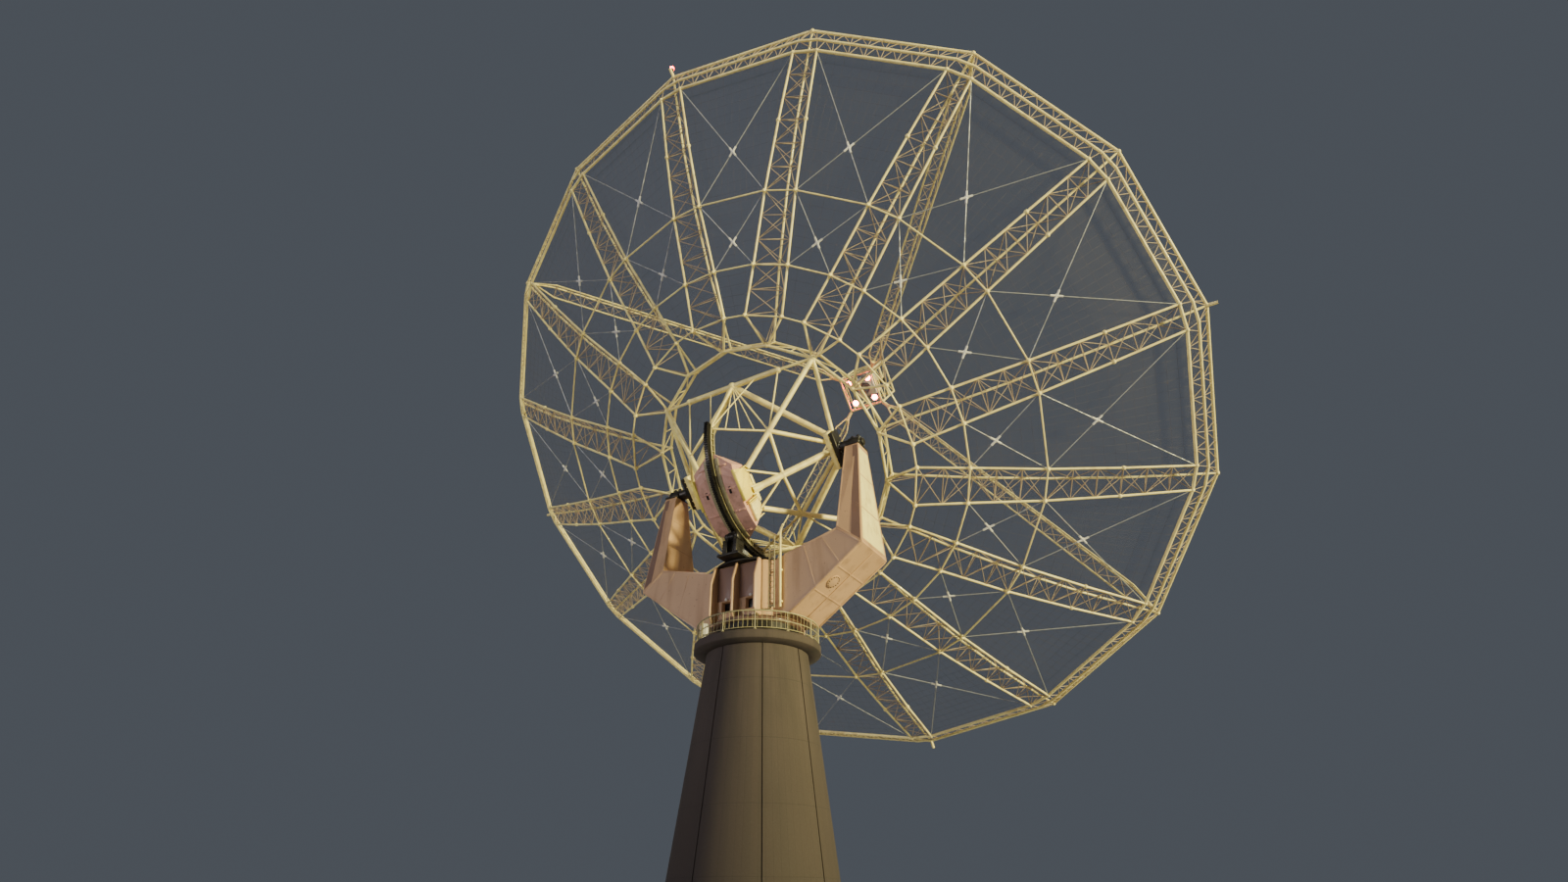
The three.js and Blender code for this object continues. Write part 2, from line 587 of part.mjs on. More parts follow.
function meshQuarter(quarter) {
  const start = ribAngle(quarter * 4 - 2);
  const point = (r, k, top) => {
    const out = frontOut(r) + MESH_LIFT + (top ? MESH_THICK : 0);
    const shift = k === 0 ? GAP : k === 4 ? -GAP : 0;
    return onRib(start + ribAngle(k), r, shift, out);
  };
  const skin = (k, top) => MESH_RADII.map((r) => point(r, k, top));
  const row = (k) => [...skin(k, true), ...skin(k, false).reverse()];
  const rows = [0, 1, 2, 3, 4].map(row);
  // The end faces are strips, so they are stitched by hand between the front and back skins.
  const n = rows[0].length;
  const index = [];
  for (let i = 0; i < 4; i++) {
    for (let j = 0; j < n; j++) {
      const m = (j + 1) % n;
      const [p, q] = [i * n, (i + 1) * n];
      index.push(p + j, p + m, q + m, p + j, q + m, q + j);
    }
  }
  const e = 4 * n;
  for (let j = 0; j < n / 2 - 1; j++) {
    const o = n - 1 - j;
    index.push(j, o, j + 1, j + 1, o, o - 1);
    index.push(e + j, e + j + 1, e + o, e + j + 1, e + o - 1, e + o);
  }
  const geometry = new THREE.BufferGeometry().setFromPoints(rows.flat()).setIndex(index);
  const solid = solidOf(geometry);
  if (solid.volume() > 0) return solid;
  for (let i = 0; i < index.length; i += 3) [index[i + 1], index[i + 2]] = [index[i + 2], index[i + 1]];
  return solidOf(geometry.setIndex(index));
}

// An arc of box section about the elevation axis, centred opposite the beam.
function arc(x0, x1, inner, outer, half0, half1, steps) {
  const rows = [];
  for (let i = 0; i <= steps; i++) {
    const t = (2 * i) / steps - 1;
    const corner = (x, r, half) => {
      const angle = THREE.MathUtils.degToRad(t * half);
      return at(x, r * Math.sin(angle), -r * Math.cos(angle));
    };
    const ends = [corner(x0, inner, half0), corner(x1, inner, half1)];
    rows.push([...ends, corner(x1, outer, half1), corner(x0, outer, half0)]);
  }
  return loft(rows, false);
}

// Tubes of the cradle: each is written for the upper right quarter and repeated by symmetry.
function cradleMembers() {
  const list = [];
  const c = HUB_RADIUS * Math.SQRT1_2;
  const put = (a, b, radius, sides = 6) => {
    const seen = new Set();
    for (const sx of [1, -1]) {
      for (const su of [1, -1]) {
        const ends = [a, b].map(([x, u, o]) => [x * sx, u * su, o]);
        const key = JSON.stringify(ends.map((p) => p.map((v) => v + 0)).sort());
        if (seen.has(key)) continue;
        seen.add(key);
        const path = ends.map((p) => at(...p));
        list.push(member(path, radius, sides, OUTWARD));
      }
    }
  };
  const [, side, back] = CROSSBAR;
  put([c, c, HUB_BACK], PANEL_CORNER, 0.16);
  put([4.3, 0, 0], PANEL_MIDDLE, 0.2);
  put([-CROSSBAR[0], side, back], CROSSBAR, 0.17);
  put([0, side, back], [4.3, 0.72, 0.2], 0.2);
  put([c, c, HUB_BACK], [4.5, 0.85, 0.3], 0.14, 5);
  put(KNOT, SIDE_KNOT, 0.1, 4);
  put(KNOT, [4.3, 0.4, 0], 0.13, 5);
  put(CROSSBAR, [c, c, HUB_BACK], 0.09, 4);
  return list;
}

function trunnionPlate(extra) {
  const sides = TRUNNION_PLATE.map(([low, high]) => [low - extra, high + extra]);
  return dishBlock(...sides.flat());
}
function trunnionSolid() {
  const face = HORN_TOP_X[0] + BEARING_INSET - GAP;
  const collar = axle(TRUNNION_START, face, 0, AXIS_HEIGHT, COLLAR_RADIUS);
  const shaft = axle(TRUNNION_START, HORN_TOP_X[1] + 0.1, 0, AXIS_HEIGHT, SHAFT_RADIUS);
  return join([trunnionPlate(0), collar, shaft]);
}

function sectorFrame() {
  const e = THREE.MathUtils.degToRad(GEAR_HALF_ANGLE - 2);
  const end = [0, FRAME_END_RADIUS * Math.sin(e), -FRAME_END_RADIUS * Math.cos(e)];
  const half = GEAR_HALF_ANGLE;
  const w = FRAME_HALF_WIDTH;
  const solids = [arc(-w, w, FRAME_INNER, GEAR_ROOT - GAP, half, half, GEAR_STEPS)];
  for (const su of [1, -1]) {
    const from = at(0, end[1] * su, end[2]);
    solids.push(bar([from, at(0, CROSSBAR[1] * su, CROSSBAR[2])], 0.09, 4, V(1, 0, 0)));
    for (const sx of [1, -1]) {
      solids.push(bar([from, at(KNOT[0] * sx, KNOT[1] * su, KNOT[2])], 0.055, 4, V(0, 0, 1)));
    }
  }
  return join(solids);
}

function addDish() {
  addPiece("hub_ring", hubSolid(), TUBE_PAINT);
  const quarters = ["right", "top", "left", "bottom"];
  quarters.forEach((name, q) => addPiece("rim_truss_" + name, members(rimMembers(q)), TUBE_PAINT));
  for (let k = 0; k < RIBS; k++) {
    addPiece("rib_" + String(k + 1).padStart(2, "0"), ribSolid(k), TUBE_PAINT);
  }
  const rings = [
    ["purlin_ring_inner", NODE_HUB, 0.0947],
    ["purlin_ring_middle", NODE_RING1, 0.1118],
    ["purlin_ring_outer", NODE_RING2, 0.1101],
  ];
  for (const [name, [r, w, out], below] of rings) {
    addPiece(name, hoop(pairPoints([r, w, out - below]), PURLIN, 4, OUTWARD), TUBE_PAINT);
  }
  quarters.forEach((name, q) => addPiece("reflector_mesh_" + name, meshQuarter(q), WIRE));
  addPiece("feed_cage", cageSolid(), TUBE_PAINT);
  for (let k = 0; k < 4; k++) addPiece("feed_leg_" + (k + 1), legSolid(k), TUBE_PAINT);
  const trunnion = trunnionSolid();
  const trunnionCut = trunnionPlate(GAP);
  const half = GEAR_HALF_ANGLE;
  const gear = arc(-GEAR_HALF_WIDTH, GEAR_HALF_WIDTH, GEAR_ROOT, GEAR_RADIUS, half, half, GEAR_STEPS);
  addPiece("trunnion_right", trunnion, DARK_STEEL);
  addPiece("trunnion_left", mirrorX(trunnion), DARK_STEEL);
  addPiece("sector_gear", gear, DARK_STEEL);
  const weight = arc(...CW_X, CW_INNER, CW_OUTER, ...CW_HALF_ANGLES, 10);
  addPiece("counterweight_right", weight, YOKE_PAINT);
  addPiece("counterweight_left", mirrorX(weight), YOKE_PAINT);
  const section = (x, outline) => outline.map(([up, out]) => at(x, up, out));
  const panels = [PANEL_UPPER, PANEL_LOWER].map((outline) => {
    return loft([section(CW_X[1] + GAP, outline), section(PANEL_X, outline)], false);
  });
  const tie = dishBlock(-PANEL_X, PANEL_X, -TIE_HALF, TIE_HALF, ...TIE_OUT);
  const seat = HUB_BACK - HUB_CHORD * Math.SQRT1_2 - GAP;
  const cradle = cut(join([members(cradleMembers()), ...panels, ...panels.map(mirrorX), tie]), [
    dishBlock(-9, 9, -9, 9, seat, seat + 3),
    trunnionCut,
    mirrorX(trunnionCut),
  ]);
  addPiece("cradle", cradle, TUBE_PAINT);
  const cradleCut = members(cradleMembers(), GAP);
  addPiece("sector_frame", cut(sectorFrame(), [cradleCut]), TUBE_PAINT);
  addPiece("obstruction_lamp", lampSolid(), LAMP_RED);
}

function lampSolid() {
  const spot = onRib(Math.PI / 2, RIM_RADIUS + LAMP_PLACE[0], 0, RIM_OUT + LAMP_PLACE[1]);
  const profile = [[0, 0], [0.09, 0], [0.09, 0.05], [0.13, 0.06], [0.13, 0.26], [0.08, 0.34], [0, 0.36]];
  const points = profile.map(([r, z]) => new THREE.Vector2(r, z));
  return solidOf(new THREE.LatheGeometry(points, 8).rotateX(Math.PI / 2).translate(spot.x, spot.y, spot.z));
}

function cageSolid() {
  const h = CAGE_HALF;
  const list = [];
  const corners = [[-h, -h], [h, -h], [h, h], [-h, h]];
  for (let i = 0; i < 4; i++) {
    const [x, u] = corners[i];
    const [x2, u2] = corners[(i + 1) % 4];
    for (const out of [CAGE_LOW, CAGE_TOP]) {
      list.push(member([at(x, u, out), at(x2, u2, out)], CAGE_POST, 4, OUTWARD));
    }
    const post = [at(x, u, CAGE_LOW - CAGE_POST * 0.9), at(x, u, CAGE_TOP + CAGE_POST * 0.9)];
    list.push(member(post, CAGE_POST, 4, V(1, 0, 0)));
  }
  for (const x of [-h, h]) {
    list.push(member([at(x, -h, TURRET_OUT), at(x, h, TURRET_OUT)], CAGE_POST, 4, OUTWARD));
  }
  const r = SLEEVE_RADIUS;
  const sleeve = (x) => dishBlock(x - SLEEVE, x + SLEEVE, -r, r, TURRET_OUT - r, TURRET_OUT + r);
  const bore = shaftAlongX(-2, 2, TURRET_SHAFT + SHAFT_CLEARANCE);
  return cut(join([members(list), sleeve(-h), sleeve(h)]), [bore]);
}

function shaftAlongX(x0, x1, radius) {
  const spot = at(0, 0, TURRET_OUT);
  return axle(x0, x1, spot.y, spot.z, radius, 16);
}

function addTurret() {
  const h = TURRET_HALF;
  const end = CAGE_HALF - SLEEVE - GAP;
  const solids = [dishBlock(-h, h, -h, h, TURRET_OUT - h, TURRET_OUT + h)];
  solids.push(shaftAlongX(-1.45, 1.45, TURRET_SHAFT), shaftAlongX(-end, end, TURRET_SHOULDER));
  const centre = at(0, 0, TURRET_OUT);
  const turn = new THREE.Matrix4().extractRotation(DISH).setPosition(centre);
  for (let i = 0; i < 4; i++) {
    const horn = new THREE.CylinderGeometry(0.46, 0.28, 0.5, 10).translate(0, h + 0.2, 0);
    solids.push(solidOf(horn.rotateX((i * Math.PI) / 2).applyMatrix4(turn)));
  }
  addPiece("feed_turret", join(solids), FEED_METAL);
}

addTower();
addYoke();
addDish();
addTurret();

export default part;
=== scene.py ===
import math

import bpy
from mathutils import Matrix, Vector


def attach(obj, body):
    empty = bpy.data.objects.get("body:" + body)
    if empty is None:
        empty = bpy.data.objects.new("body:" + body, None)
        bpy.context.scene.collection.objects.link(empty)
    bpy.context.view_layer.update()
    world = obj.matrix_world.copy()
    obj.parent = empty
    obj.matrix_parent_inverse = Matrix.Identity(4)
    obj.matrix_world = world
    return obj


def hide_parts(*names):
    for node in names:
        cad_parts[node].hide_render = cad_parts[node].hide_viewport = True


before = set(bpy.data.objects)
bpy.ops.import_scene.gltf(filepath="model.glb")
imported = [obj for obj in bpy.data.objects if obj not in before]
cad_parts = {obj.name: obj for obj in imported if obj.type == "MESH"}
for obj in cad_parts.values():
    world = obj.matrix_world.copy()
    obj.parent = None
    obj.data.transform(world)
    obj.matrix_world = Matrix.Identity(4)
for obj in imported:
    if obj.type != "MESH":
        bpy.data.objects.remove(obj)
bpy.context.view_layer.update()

bl_info = {
    "name": "Radio telescope dish",
    "version": (1, 0, 0),
    "blender": (4, 5, 0),
    "location": "3D View > Sidebar > Telescope",
    "description": "Trusses, machinery and finishes of a radio telescope dish around its packed frame",
    "category": "Add Mesh",
}

# Lengths are metres of the full-size telescope. HALF turns them into the model's own metres.
HALF = 0.5
TAU = 2 * math.pi
RIBS = 16
STEP = TAU / RIBS
QUARTERS = ("right", "top", "left", "bottom")
RIBS_APART = RIBS // len(QUARTERS)

# Gap between pieces that stand on each other, so that no two faces share a plane
GAP = 0.001
# Sides of the large turned shapes, and the angle up to which neighbouring faces look smooth
ROUND_SIDES = 96
SMOOTH_ANGLE = math.radians(61)

# A plane across the X axis, an upright turned along it, and the mirror between its two sides
ACROSS_X = Matrix(((0, 0, 1), (1, 0, 0), (0, 1, 0))).to_4x4()
ALONG_X = Matrix.Rotation(math.radians(90), 4, "Y")
MIRROR = Matrix.Scale(-1, 4, Vector((1, 0, 0)))

# Tower, bearing and drum
TOWER_BASE = 3.78
TOWER_TOP = 2.35
SHAFT_TOP = 11.3
HEAD_RADIUS = 2.94
HEAD_EDGE = 11.37
HEAD_TOP = 11.74
RAIL_RADIUS = 2.84
RAIL_HEIGHT = 0.86
RACE_RADIUS = 1.85
RACE_TOP = 12.06
DRUM_LOW = 12.45
DRUM_TOP = 15.4
DRUM_RADIUS = 2.14
DRUM_FACE = 1.75
DRUM_FLANGE = 2.18
GUSSET_X = 1.22
GUSSET_OUTLINE = [(1.6, 12.55), (2.1, 12.55), (2.3, 12.85), (2.3, 14.4), (2, 15.3), (1.6, 15.3)]

# Yoke: corners of the right arm and horn in the plane of X and Z
ARM_LOW = (2.54, 12.66)
ARM_OUTER = (6.2, 15.2)
ARM_ELBOW = (4.98, 16.16)
ARM_ROOT = (0.9, 15.06)
ARM_SEAM_TOP = (2.3, 15.44)
ARM_STRIPS = [((2.54, 12.69), (6.13, 15.18)), ((6.13, 15.22), (5.02, 16.1))]
YOKE_HALF_DEPTH = 1.35
HORN_TOP_X = (5.24, 5.95)
HORN_TOP = 20.85
HORN_TOP_HALF_DEPTH = 0.5
BEARING_FACE = 5.28

# Elevation axis and the dish's own frame
AXIS_HEIGHT = 21.18
TILT = math.radians(45)
UP = Vector((0, -math.sin(TILT), math.cos(TILT)))
OUT = Vector((0, math.cos(TILT), math.sin(TILT)))

# Dish: nodes are a radius, a half spacing of two chords, and a distance out
RIM_RADIUS = 22.5
RIM_OUT = 8.05
DISH_DEPTH = 6.6
HUB_RADIUS = 6.6
HUB_BACK = 1.0
NODE_START = (6.66, 0.09, 1.0)
NODE_HUB = (8.18, 1.01, 0.62)
NODE_RING1 = (10.65, 0.94, 1.67)
NODE_RING2 = (14.27, 0.85, 3.1)
NODE_RING3 = (17.8, 0.76, 4.86)
NODE_INNER = (21.3, 0.67, 6.8)
NODE_MIDDLE = (21.91, 0.53, 7.29)
NODE_RIM = (RIM_RADIUS, 0.0, RIM_OUT)
FRONT_RADII = (6.6, 10.65, 14.27, 17.8, 21.3, 22.48)
MESH_RADII = (0.5, 3.5, 6.6, 10.65, 14.27, 17.8, 21.3, 22.12)

# The reflecting mesh lies this far out from the ribs' front chords
MESH_LIFT = 0.0934
# Where a ray of wire starts: the finer its share of the way from rib to rib, the further out
RAY_STARTS = {16: 0.6, 8: 3.5, 4: 6.6, 2: 10.65, 1: 14.27}

# Cradle, gear and feed
GEAR_RADIUS = 5.03
GEAR_ROOT = 4.97
GEAR_INNER = 4.78
WEB_OUTER = 4.779
WEB_INNER = 4.45
GEAR_HALF_ANGLE = 49
PINION_ANGLE = math.radians(-116.5)
PINION_AWAY = GEAR_RADIUS + 0.242
WEIGHT_FACE = 4.72
WEIGHT_END = 1.1
PANEL_FACE = 1.28
PANEL_UPPER = [(1.4, -4.72), (1.07, -3.5), (-0.22, -3.5), (-0.22, -4.72)]
PANEL_LOWER = [(-0.5, -4.4), (-0.5, -3.5), (-1.07, -3.5), (-1.4, -4.4)]
PANEL_CORNER = (1.3, 1.07, -3.56)
PANEL_MIDDLE = (1.3, 0, -3.8)
KNOT = (2.392, 2.236, -2.081)
SIDE_KNOT = (2.393, 0, -2.415)
CROSSBAR = (2.82, 4.73, 0.56)
CAGE_HALF = 1.3
CAGE_LOW = 19.6
CAGE_WAIST = 20.55
CAGE_TOP = 23.4
TURRET_OUT = 21.75
FLOOD_LAMPS = ((0.8, 0.8), (-0.8, 0.8), (-0.8, -0.8), (0.8, -0.8))

# The photographer's place in the model's metres, and the way the camera faces
CAMERA_SPOT = (9.375, -14.46, 0.8)
CAMERA_HEADING = math.atan2(0.514, 0.858)


def row(x, y, z):
    """A point of the full-size telescope in the row frame, in the model's metres."""
    return HALF * Vector((x, y, z))


def at(x, up, out):
    """A point given in the dish's frame: right, up and out along the beam."""
    return HALF * (Vector((x, 0, AXIS_HEIGHT)) + up * UP + out * OUT)


def on_rib(k, r, w, out):
    """A point beside rib line k, which may be a fraction: radius, sideways and out."""
    angle = k * STEP
    c, s = math.cos(angle), math.sin(angle)
    return at(r * c - w * s, r * s + w * c, out)


def front_out(r):
    """How far out the paraboloid stands at a radius."""
    return RIM_OUT - DISH_DEPTH + DISH_DEPTH * (r / RIM_RADIUS) ** 2


def between(stops, r):
    """Straight interpolation in a list of (radius, values...) rows."""
    for low, high in zip(stops, stops[1:]):
        if r <= high[0]:
            return part_way(low, high, (r - low[0]) / (high[0] - low[0]))
    return list(stops[-1])


def dish_turn(k):
    """Turns a mesh from rib line 0 to rib line k about the beam."""
    axis = Matrix.Translation(row(0, 0, AXIS_HEIGHT))
    return axis @ Matrix.Rotation(k * STEP, 4, OUT) @ axis.inverted()


def dish_place():
    """The dish's frame as a placement: local X right, Y up, Z out."""
    turned_axes = Matrix(((1, UP.x, OUT.x), (0, UP.y, OUT.y), (0, UP.z, OUT.z))).to_4x4()
    return Matrix.Translation(row(0, 0, AXIS_HEIGHT)) @ turned_axes


def elevation_axis():
    """A placement on the elevation axis, with local Z to the right."""
    return Matrix.Translation(row(0, 0, AXIS_HEIGHT)) @ ALONG_X


def raised(place, height):
    """A placement moved along its own upright axis."""
    return place @ Matrix.Translation((0, 0, height * HALF))


def span(side, near, far):
    """Two places on one side of the middle, 1 or -1, the lesser first."""
    return sorted((side * near, side * far))


def part_way(first, last, share):
    """A point between two points, as a list of its coordinates."""
    return [a + (b - a) * share for a, b in zip(first, last)]


def facing(spot, along, side=Vector((0, 0, 1))):
    """A placement at a spot, with local Z along a direction."""
    z = along.normalized()
    x = side.cross(z)
    if x.length < 1e-3:
        x = Vector((1, 0, 0)).cross(z)
    x.normalize()
    y = z.cross(x)
    return Matrix.Translation(spot) @ Matrix((x, y, z)).transposed().to_4x4()


# Modelling steps


def only(*pieces):
    """Selects these objects and nothing else; the first is the active one."""
    bpy.ops.object.select_all(action="DESELECT")
    for piece in pieces:
        piece.select_set(True)
    bpy.context.view_layer.objects.active = pieces[0]


def linked(name, data):
    """An object of its own for a mesh or a curve."""
    piece = bpy.data.objects.new(name, data)
    bpy.context.scene.collection.objects.link(piece)
    return piece


def tubes(name, runs, sides=6):
    """Round tubes as one mesh. A run is (points, diameter), with a third entry where it is closed."""
    curve = bpy.data.curves.new(name, "CURVE")
    curve.dimensions = "3D"
    curve.bevel_depth = 1.0
    curve.bevel_resolution = (sides - 4) // 2
    curve.use_fill_caps = True
    for points, diameter, *closed in runs:
        spline = curve.splines.new("POLY")
        spline.points.add(len(points) - 1)
        for spot, point in zip(spline.points, points):
            spot.co = (*point, 1.0)
            spot.radius = diameter * HALF / 2
        spline.use_cyclic_u = bool(closed)
    piece = linked(name, curve)
    only(piece)
    bpy.ops.object.convert(target="MESH")
    piece = bpy.context.object
    piece.data.name = name
    return piece


def turned(name, profile, steps, place=None):
    """A turned shape: radius and height pairs spun about the upright axis."""
    mesh = bpy.data.meshes.new(name)
    spots = [(r * HALF, 0, z * HALF) for r, z in profile]
    mesh.from_pydata(spots, [(i, i + 1) for i in range(len(spots) - 1)], [])
    piece = linked(name, mesh)
    only(piece)
    bpy.ops.object.mode_set(mode="EDIT")
    bpy.ops.mesh.select_all(action="SELECT")
    bpy.ops.mesh.spin(steps=steps, angle=TAU, center=(0, 0, 0), axis=(0, 0, 1))
    bpy.ops.mesh.select_all(action="SELECT")
    bpy.ops.mesh.remove_doubles(threshold=1e-5)
    bpy.ops.mesh.normals_make_consistent(inside=False)
    bpy.ops.object.mode_set(mode="OBJECT")
    if place:
        piece.data.transform(place)
    return piece


def bevelled(piece, width, segments=2):
    """Rounds the sharp edges of a piece by a width in full-size metres."""
    edges = piece.modifiers.new("edges", "BEVEL")
    edges.width = width * HALF
    edges.segments = segments
    edges.limit_method = "ANGLE"
    only(piece)
    bpy.ops.object.modifier_apply(modifier="edges")
    return piece


def block(name, low, high, bevel=0.015, place=None):
    """A box between two corners with rounded edges, placed in the row frame or another."""
    middle = [(a + b) / 2 * HALF for a, b in zip(low, high)]
    only_none()
    bpy.ops.mesh.primitive_cube_add(size=1, location=middle)
    piece = bpy.context.object
    piece.name = name
    piece.scale = [abs(b - a) * HALF for a, b in zip(low, high)]
    bpy.ops.object.transform_apply(location=True, rotation=True, scale=True)
    bevelled(piece, bevel)
    if place:
        piece.data.transform(place)
    return piece


def only_none():
    """Leaves nothing selected, so that a new primitive stands alone."""
    bpy.ops.object.select_all(action="DESELECT")


def plate(name, outline, thickness, place, bevel=0.0):
    """A flat plate: corners in its own plane, thickened evenly to both sides."""
    mesh = bpy.data.meshes.new(name)
    spots = [(x * HALF, y * HALF, -thickness * HALF / 2) for x, y in outline]
    mesh.from_pydata(spots, [], [tuple(range(len(spots)))])
    piece = linked(name, mesh)
    only(piece)
    bpy.ops.object.mode_set(mode="EDIT")
    bpy.ops.mesh.select_all(action="SELECT")
    bpy.ops.mesh.extrude_region_move(TRANSFORM_OT_translate={"value": (0, 0, thickness * HALF)})
    bpy.ops.mesh.select_all(action="SELECT")
    bpy.ops.mesh.normals_make_consistent(inside=False)
    bpy.ops.object.mode_set(mode="OBJECT")
    if bevel:
        bevelled(piece, bevel, 1)
    piece.data.transform(place)
    return piece


def stamped(name, master, places):
    """One mesh with the master at every place. The master itself goes."""
    spots = [v.co.copy() for v in master.data.vertices]
    sides = [tuple(p.vertices) for p in master.data.polygons]
    verts = []
    faces = []
    for place in places:
        first = len(verts)
        verts += [place @ spot for spot in spots]
        faces += [tuple(first + i for i in side) for side in sides]
    mesh = bpy.data.meshes.new(name)
    mesh.from_pydata(verts, [], faces)
    for slot in master.data.materials:
        mesh.materials.append(slot)
    bpy.data.objects.remove(master)
    return linked(name, mesh)


def joined(name, *pieces):
    """Several meshes as one piece."""
    only(*pieces)
    bpy.ops.object.join()
    piece = bpy.context.object
    piece.name = name
    piece.data.name = name
    return piece


def painted(piece, finish):
    """Gives a piece, or a part that will be joined to others, its material."""
    piece.data.materials.clear()
    piece.data.materials.append(FINISHES[finish])
    return piece


def set_in(piece, body, slot, *nodes):
    """Rests a finished piece: smooth where it is round, on its body, in the place of its nodes."""
    only(piece)
    bpy.ops.object.shade_smooth_by_angle(angle=SMOOTH_ANGLE)
    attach(piece, body)
    if nodes:
        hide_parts(*nodes)
    return piece


def copied(piece, name, place, flip=False):
    """A copy with its own mesh, moved by a placement; flip is for a mirrored one."""
    twin = piece.copy()
    twin.data = piece.data.copy()
    twin.name = name
    twin.data.name = name
    bpy.context.scene.collection.objects.link(twin)
    twin.data.transform(place)
    if flip:
        twin.data.flip_normals()
    return twin


def both_sides(piece, name):
    """A piece of the right side and its mirror image on the left, each with its side."""
    twin = copied(piece, name + "_left", MIRROR, True)
    piece.name = name + "_right"
    return (piece, "right"), (twin, "left")


def round_the_dish(master, names, apart):
    """The master and its copies about the beam, one for each name, so many ribs apart."""
    master.name = names[0]
    twins = [copied(master, name, dish_turn(i * apart)) for i, name in enumerate(names[1:], 1)]
    return [master, *twins]


def ball(diameter, detail=2):
    """A welded node ball, as a master for stamping."""
    only_none()
    bpy.ops.mesh.primitive_ico_sphere_add(subdivisions=detail, radius=diameter * HALF / 2)
    return bpy.context.object


def bolt(size):
    """A hexagon head on a washer, standing on its local plane, as a master for stamping."""
    head = [(0, 0), (size * 0.66, 0), (size * 0.66, size * 0.14), (size * 0.5, size * 0.16)]
    head += [(size * 0.5, size * 0.52), (size * 0.4, size * 0.6), (0, size * 0.6)]
    return turned("bolt", head, 6)


def bolt_ring(name, size, radius, bolts, place):
    """Bolts on a circle about a placement's own upright axis."""
    spots = []
    for i in range(bolts):
        angle = TAU * (i + 0.5) / bolts
        offset = Matrix.Translation(HALF * radius * Vector((math.cos(angle), math.sin(angle), 0)))
        spots.append(place @ offset)
    return stamped(name, bolt(size), spots)


# Sizes and colours that a user may change


def linear(red, green, blue):
    """A screen colour, 0 to 255 a channel, as a scene colour."""
    return tuple(((c / 255 + 0.055) / 1.055) ** 2.4 for c in (red, green, blue))


def length(name, description, default):
    """A length that a user may change."""
    return bpy.props.FloatProperty(name=name, description=description, default=default, unit="LENGTH")


def count(name, description, default, least):
    """How many of a thing there are, which a user may change."""
    return bpy.props.IntProperty(name=name, description=description, default=default, min=least)


def number(name, description, default, subtype="NONE"):
    """A plain number that a user may change."""
    return bpy.props.FloatProperty(name=name, description=description, default=default, subtype=subtype)


def colour(name, description, default):
    """A colour that a user may change."""
    return bpy.props.FloatVectorProperty(
        name=name, description=description, subtype="COLOR", min=0, max=1, default=default
    )


class TubeSizes(bpy.types.PropertyGroup):
    """Diameters of tubes, rods and wires on the full-size telescope."""

    rib_chord: length("Rib chord", "Diameter of a rib's three long tubes", 0.125)
    lacing: length("Lacing", "Diameter of the thin tubes inside a truss", 0.046)
    rim_chord: length("Rim chord", "Diameter of the rim's three long tubes", 0.165)
    hub_chord: length("Hub chord", "Diameter of the hub's two rings", 0.155)
    purlin: length("Purlin", "Diameter of the rings that tie the ribs", 0.085)
    leg_chord: length("Leg chord", "Diameter of a feed leg's long tubes", 0.11)
    stay: length("Stay", "Diameter of the crossed stays between the ribs", 0.05)
    wire: length("Wire", "Diameter of the reflecting mesh's bearing wires", 0.01)
    node_ball: length("Node ball", "Diameter of the welded nodes", 0.24)


class Detail(bpy.types.PropertyGroup):
    """How many small things repeat."""

    leg_panels: count("Leg panels", "Lacing panels along a feed leg", 20, 4)
    rim_panels: count("Rim panels", "Lacing panels from rib to rib, an even number", 8, 2)
    balusters: count("Balusters", "Thin bars of the gallery railing", 84, 12)
    gear_teeth: count("Gear teeth", "Teeth on the elevation sector", 72, 20)


class Colours(bpy.types.PropertyGroup):
    """Colours of the finishes."""

    concrete: colour("Concrete", "Weathered concrete of the tower", linear(74, 64, 60))
    concrete_dark: colour("Concrete stain", "Damp streaks on the tower", linear(44, 40, 37))
    yoke: colour("Yoke paint", "Tan paint of the drum, arms and horns", linear(194, 157, 122))
    yoke_stain: colour("Yoke stain", "Weather on the tan paint", linear(128, 96, 68))
    # This brown also stands as painted shade on the drum's low flange
    shade: colour("Shade panels", "Brown paint of the drum's and horns' inner panels", linear(122, 94, 82))
    counterweight: colour("Counterweight paint", "Pinkish tan paint of the weights", linear(212, 162, 146))
    edge: colour("Edge paint", "Dull green paint beside the gear", linear(150, 142, 108))
    panel: colour("Panel paint", "Yellow paint of the weights' end panels", linear(252, 226, 104))
    tube: colour("Tube paint", "Cream paint of the trusses", linear(252, 232, 156))
    tube_stain: colour("Tube stain", "Weather on the cream paint", linear(148, 114, 78))
    lacing: colour("Lacing paint", "Duller paint of the thin tubes in the trusses", linear(162, 144, 120))
    steel: colour("Dark steel", "Bearings and machinery", linear(60, 57, 54))
    grease: colour("Grease", "Grease on gears and bearings", linear(18, 16, 15))
    zinc: colour("Zinc", "Galvanised stays and fittings", linear(176, 178, 182))
    wire: colour("Mesh wire", "Dulled wire of the reflecting mesh", linear(104, 98, 102))
    feed: colour("Feed metal", "White paint of the feed turret", linear(222, 220, 214))
    lamp: colour("Lamp", "Red glass of the obstruction lamp", linear(232, 28, 20))
    flood_lamp: colour("Flood lamp", "Red glass of the lamps at the feed", (1.0, 0.06, 0.05))
    floor: colour("Floor", "Studio floor", linear(214, 212, 208))
    backdrop: colour("Backdrop", "Studio background", linear(78, 83, 90))


class Studio(bpy.types.PropertyGroup):
    """Light and camera."""

    key_power: number("Key", "Strength of the warm light from the right", 7.2)
    fill_power: number("Fill", "Strength of the soft light from the front", 2.7)
    top_power: number("Top", "Strength of the light from above", 0.7)
    lens: number("Lens", "Focal length on a 36 mm wide sensor, in millimetres", 17.07)
    pitch: number("Pitch", "How far the camera looks up", math.radians(31.98), "ANGLE")


# Finishes


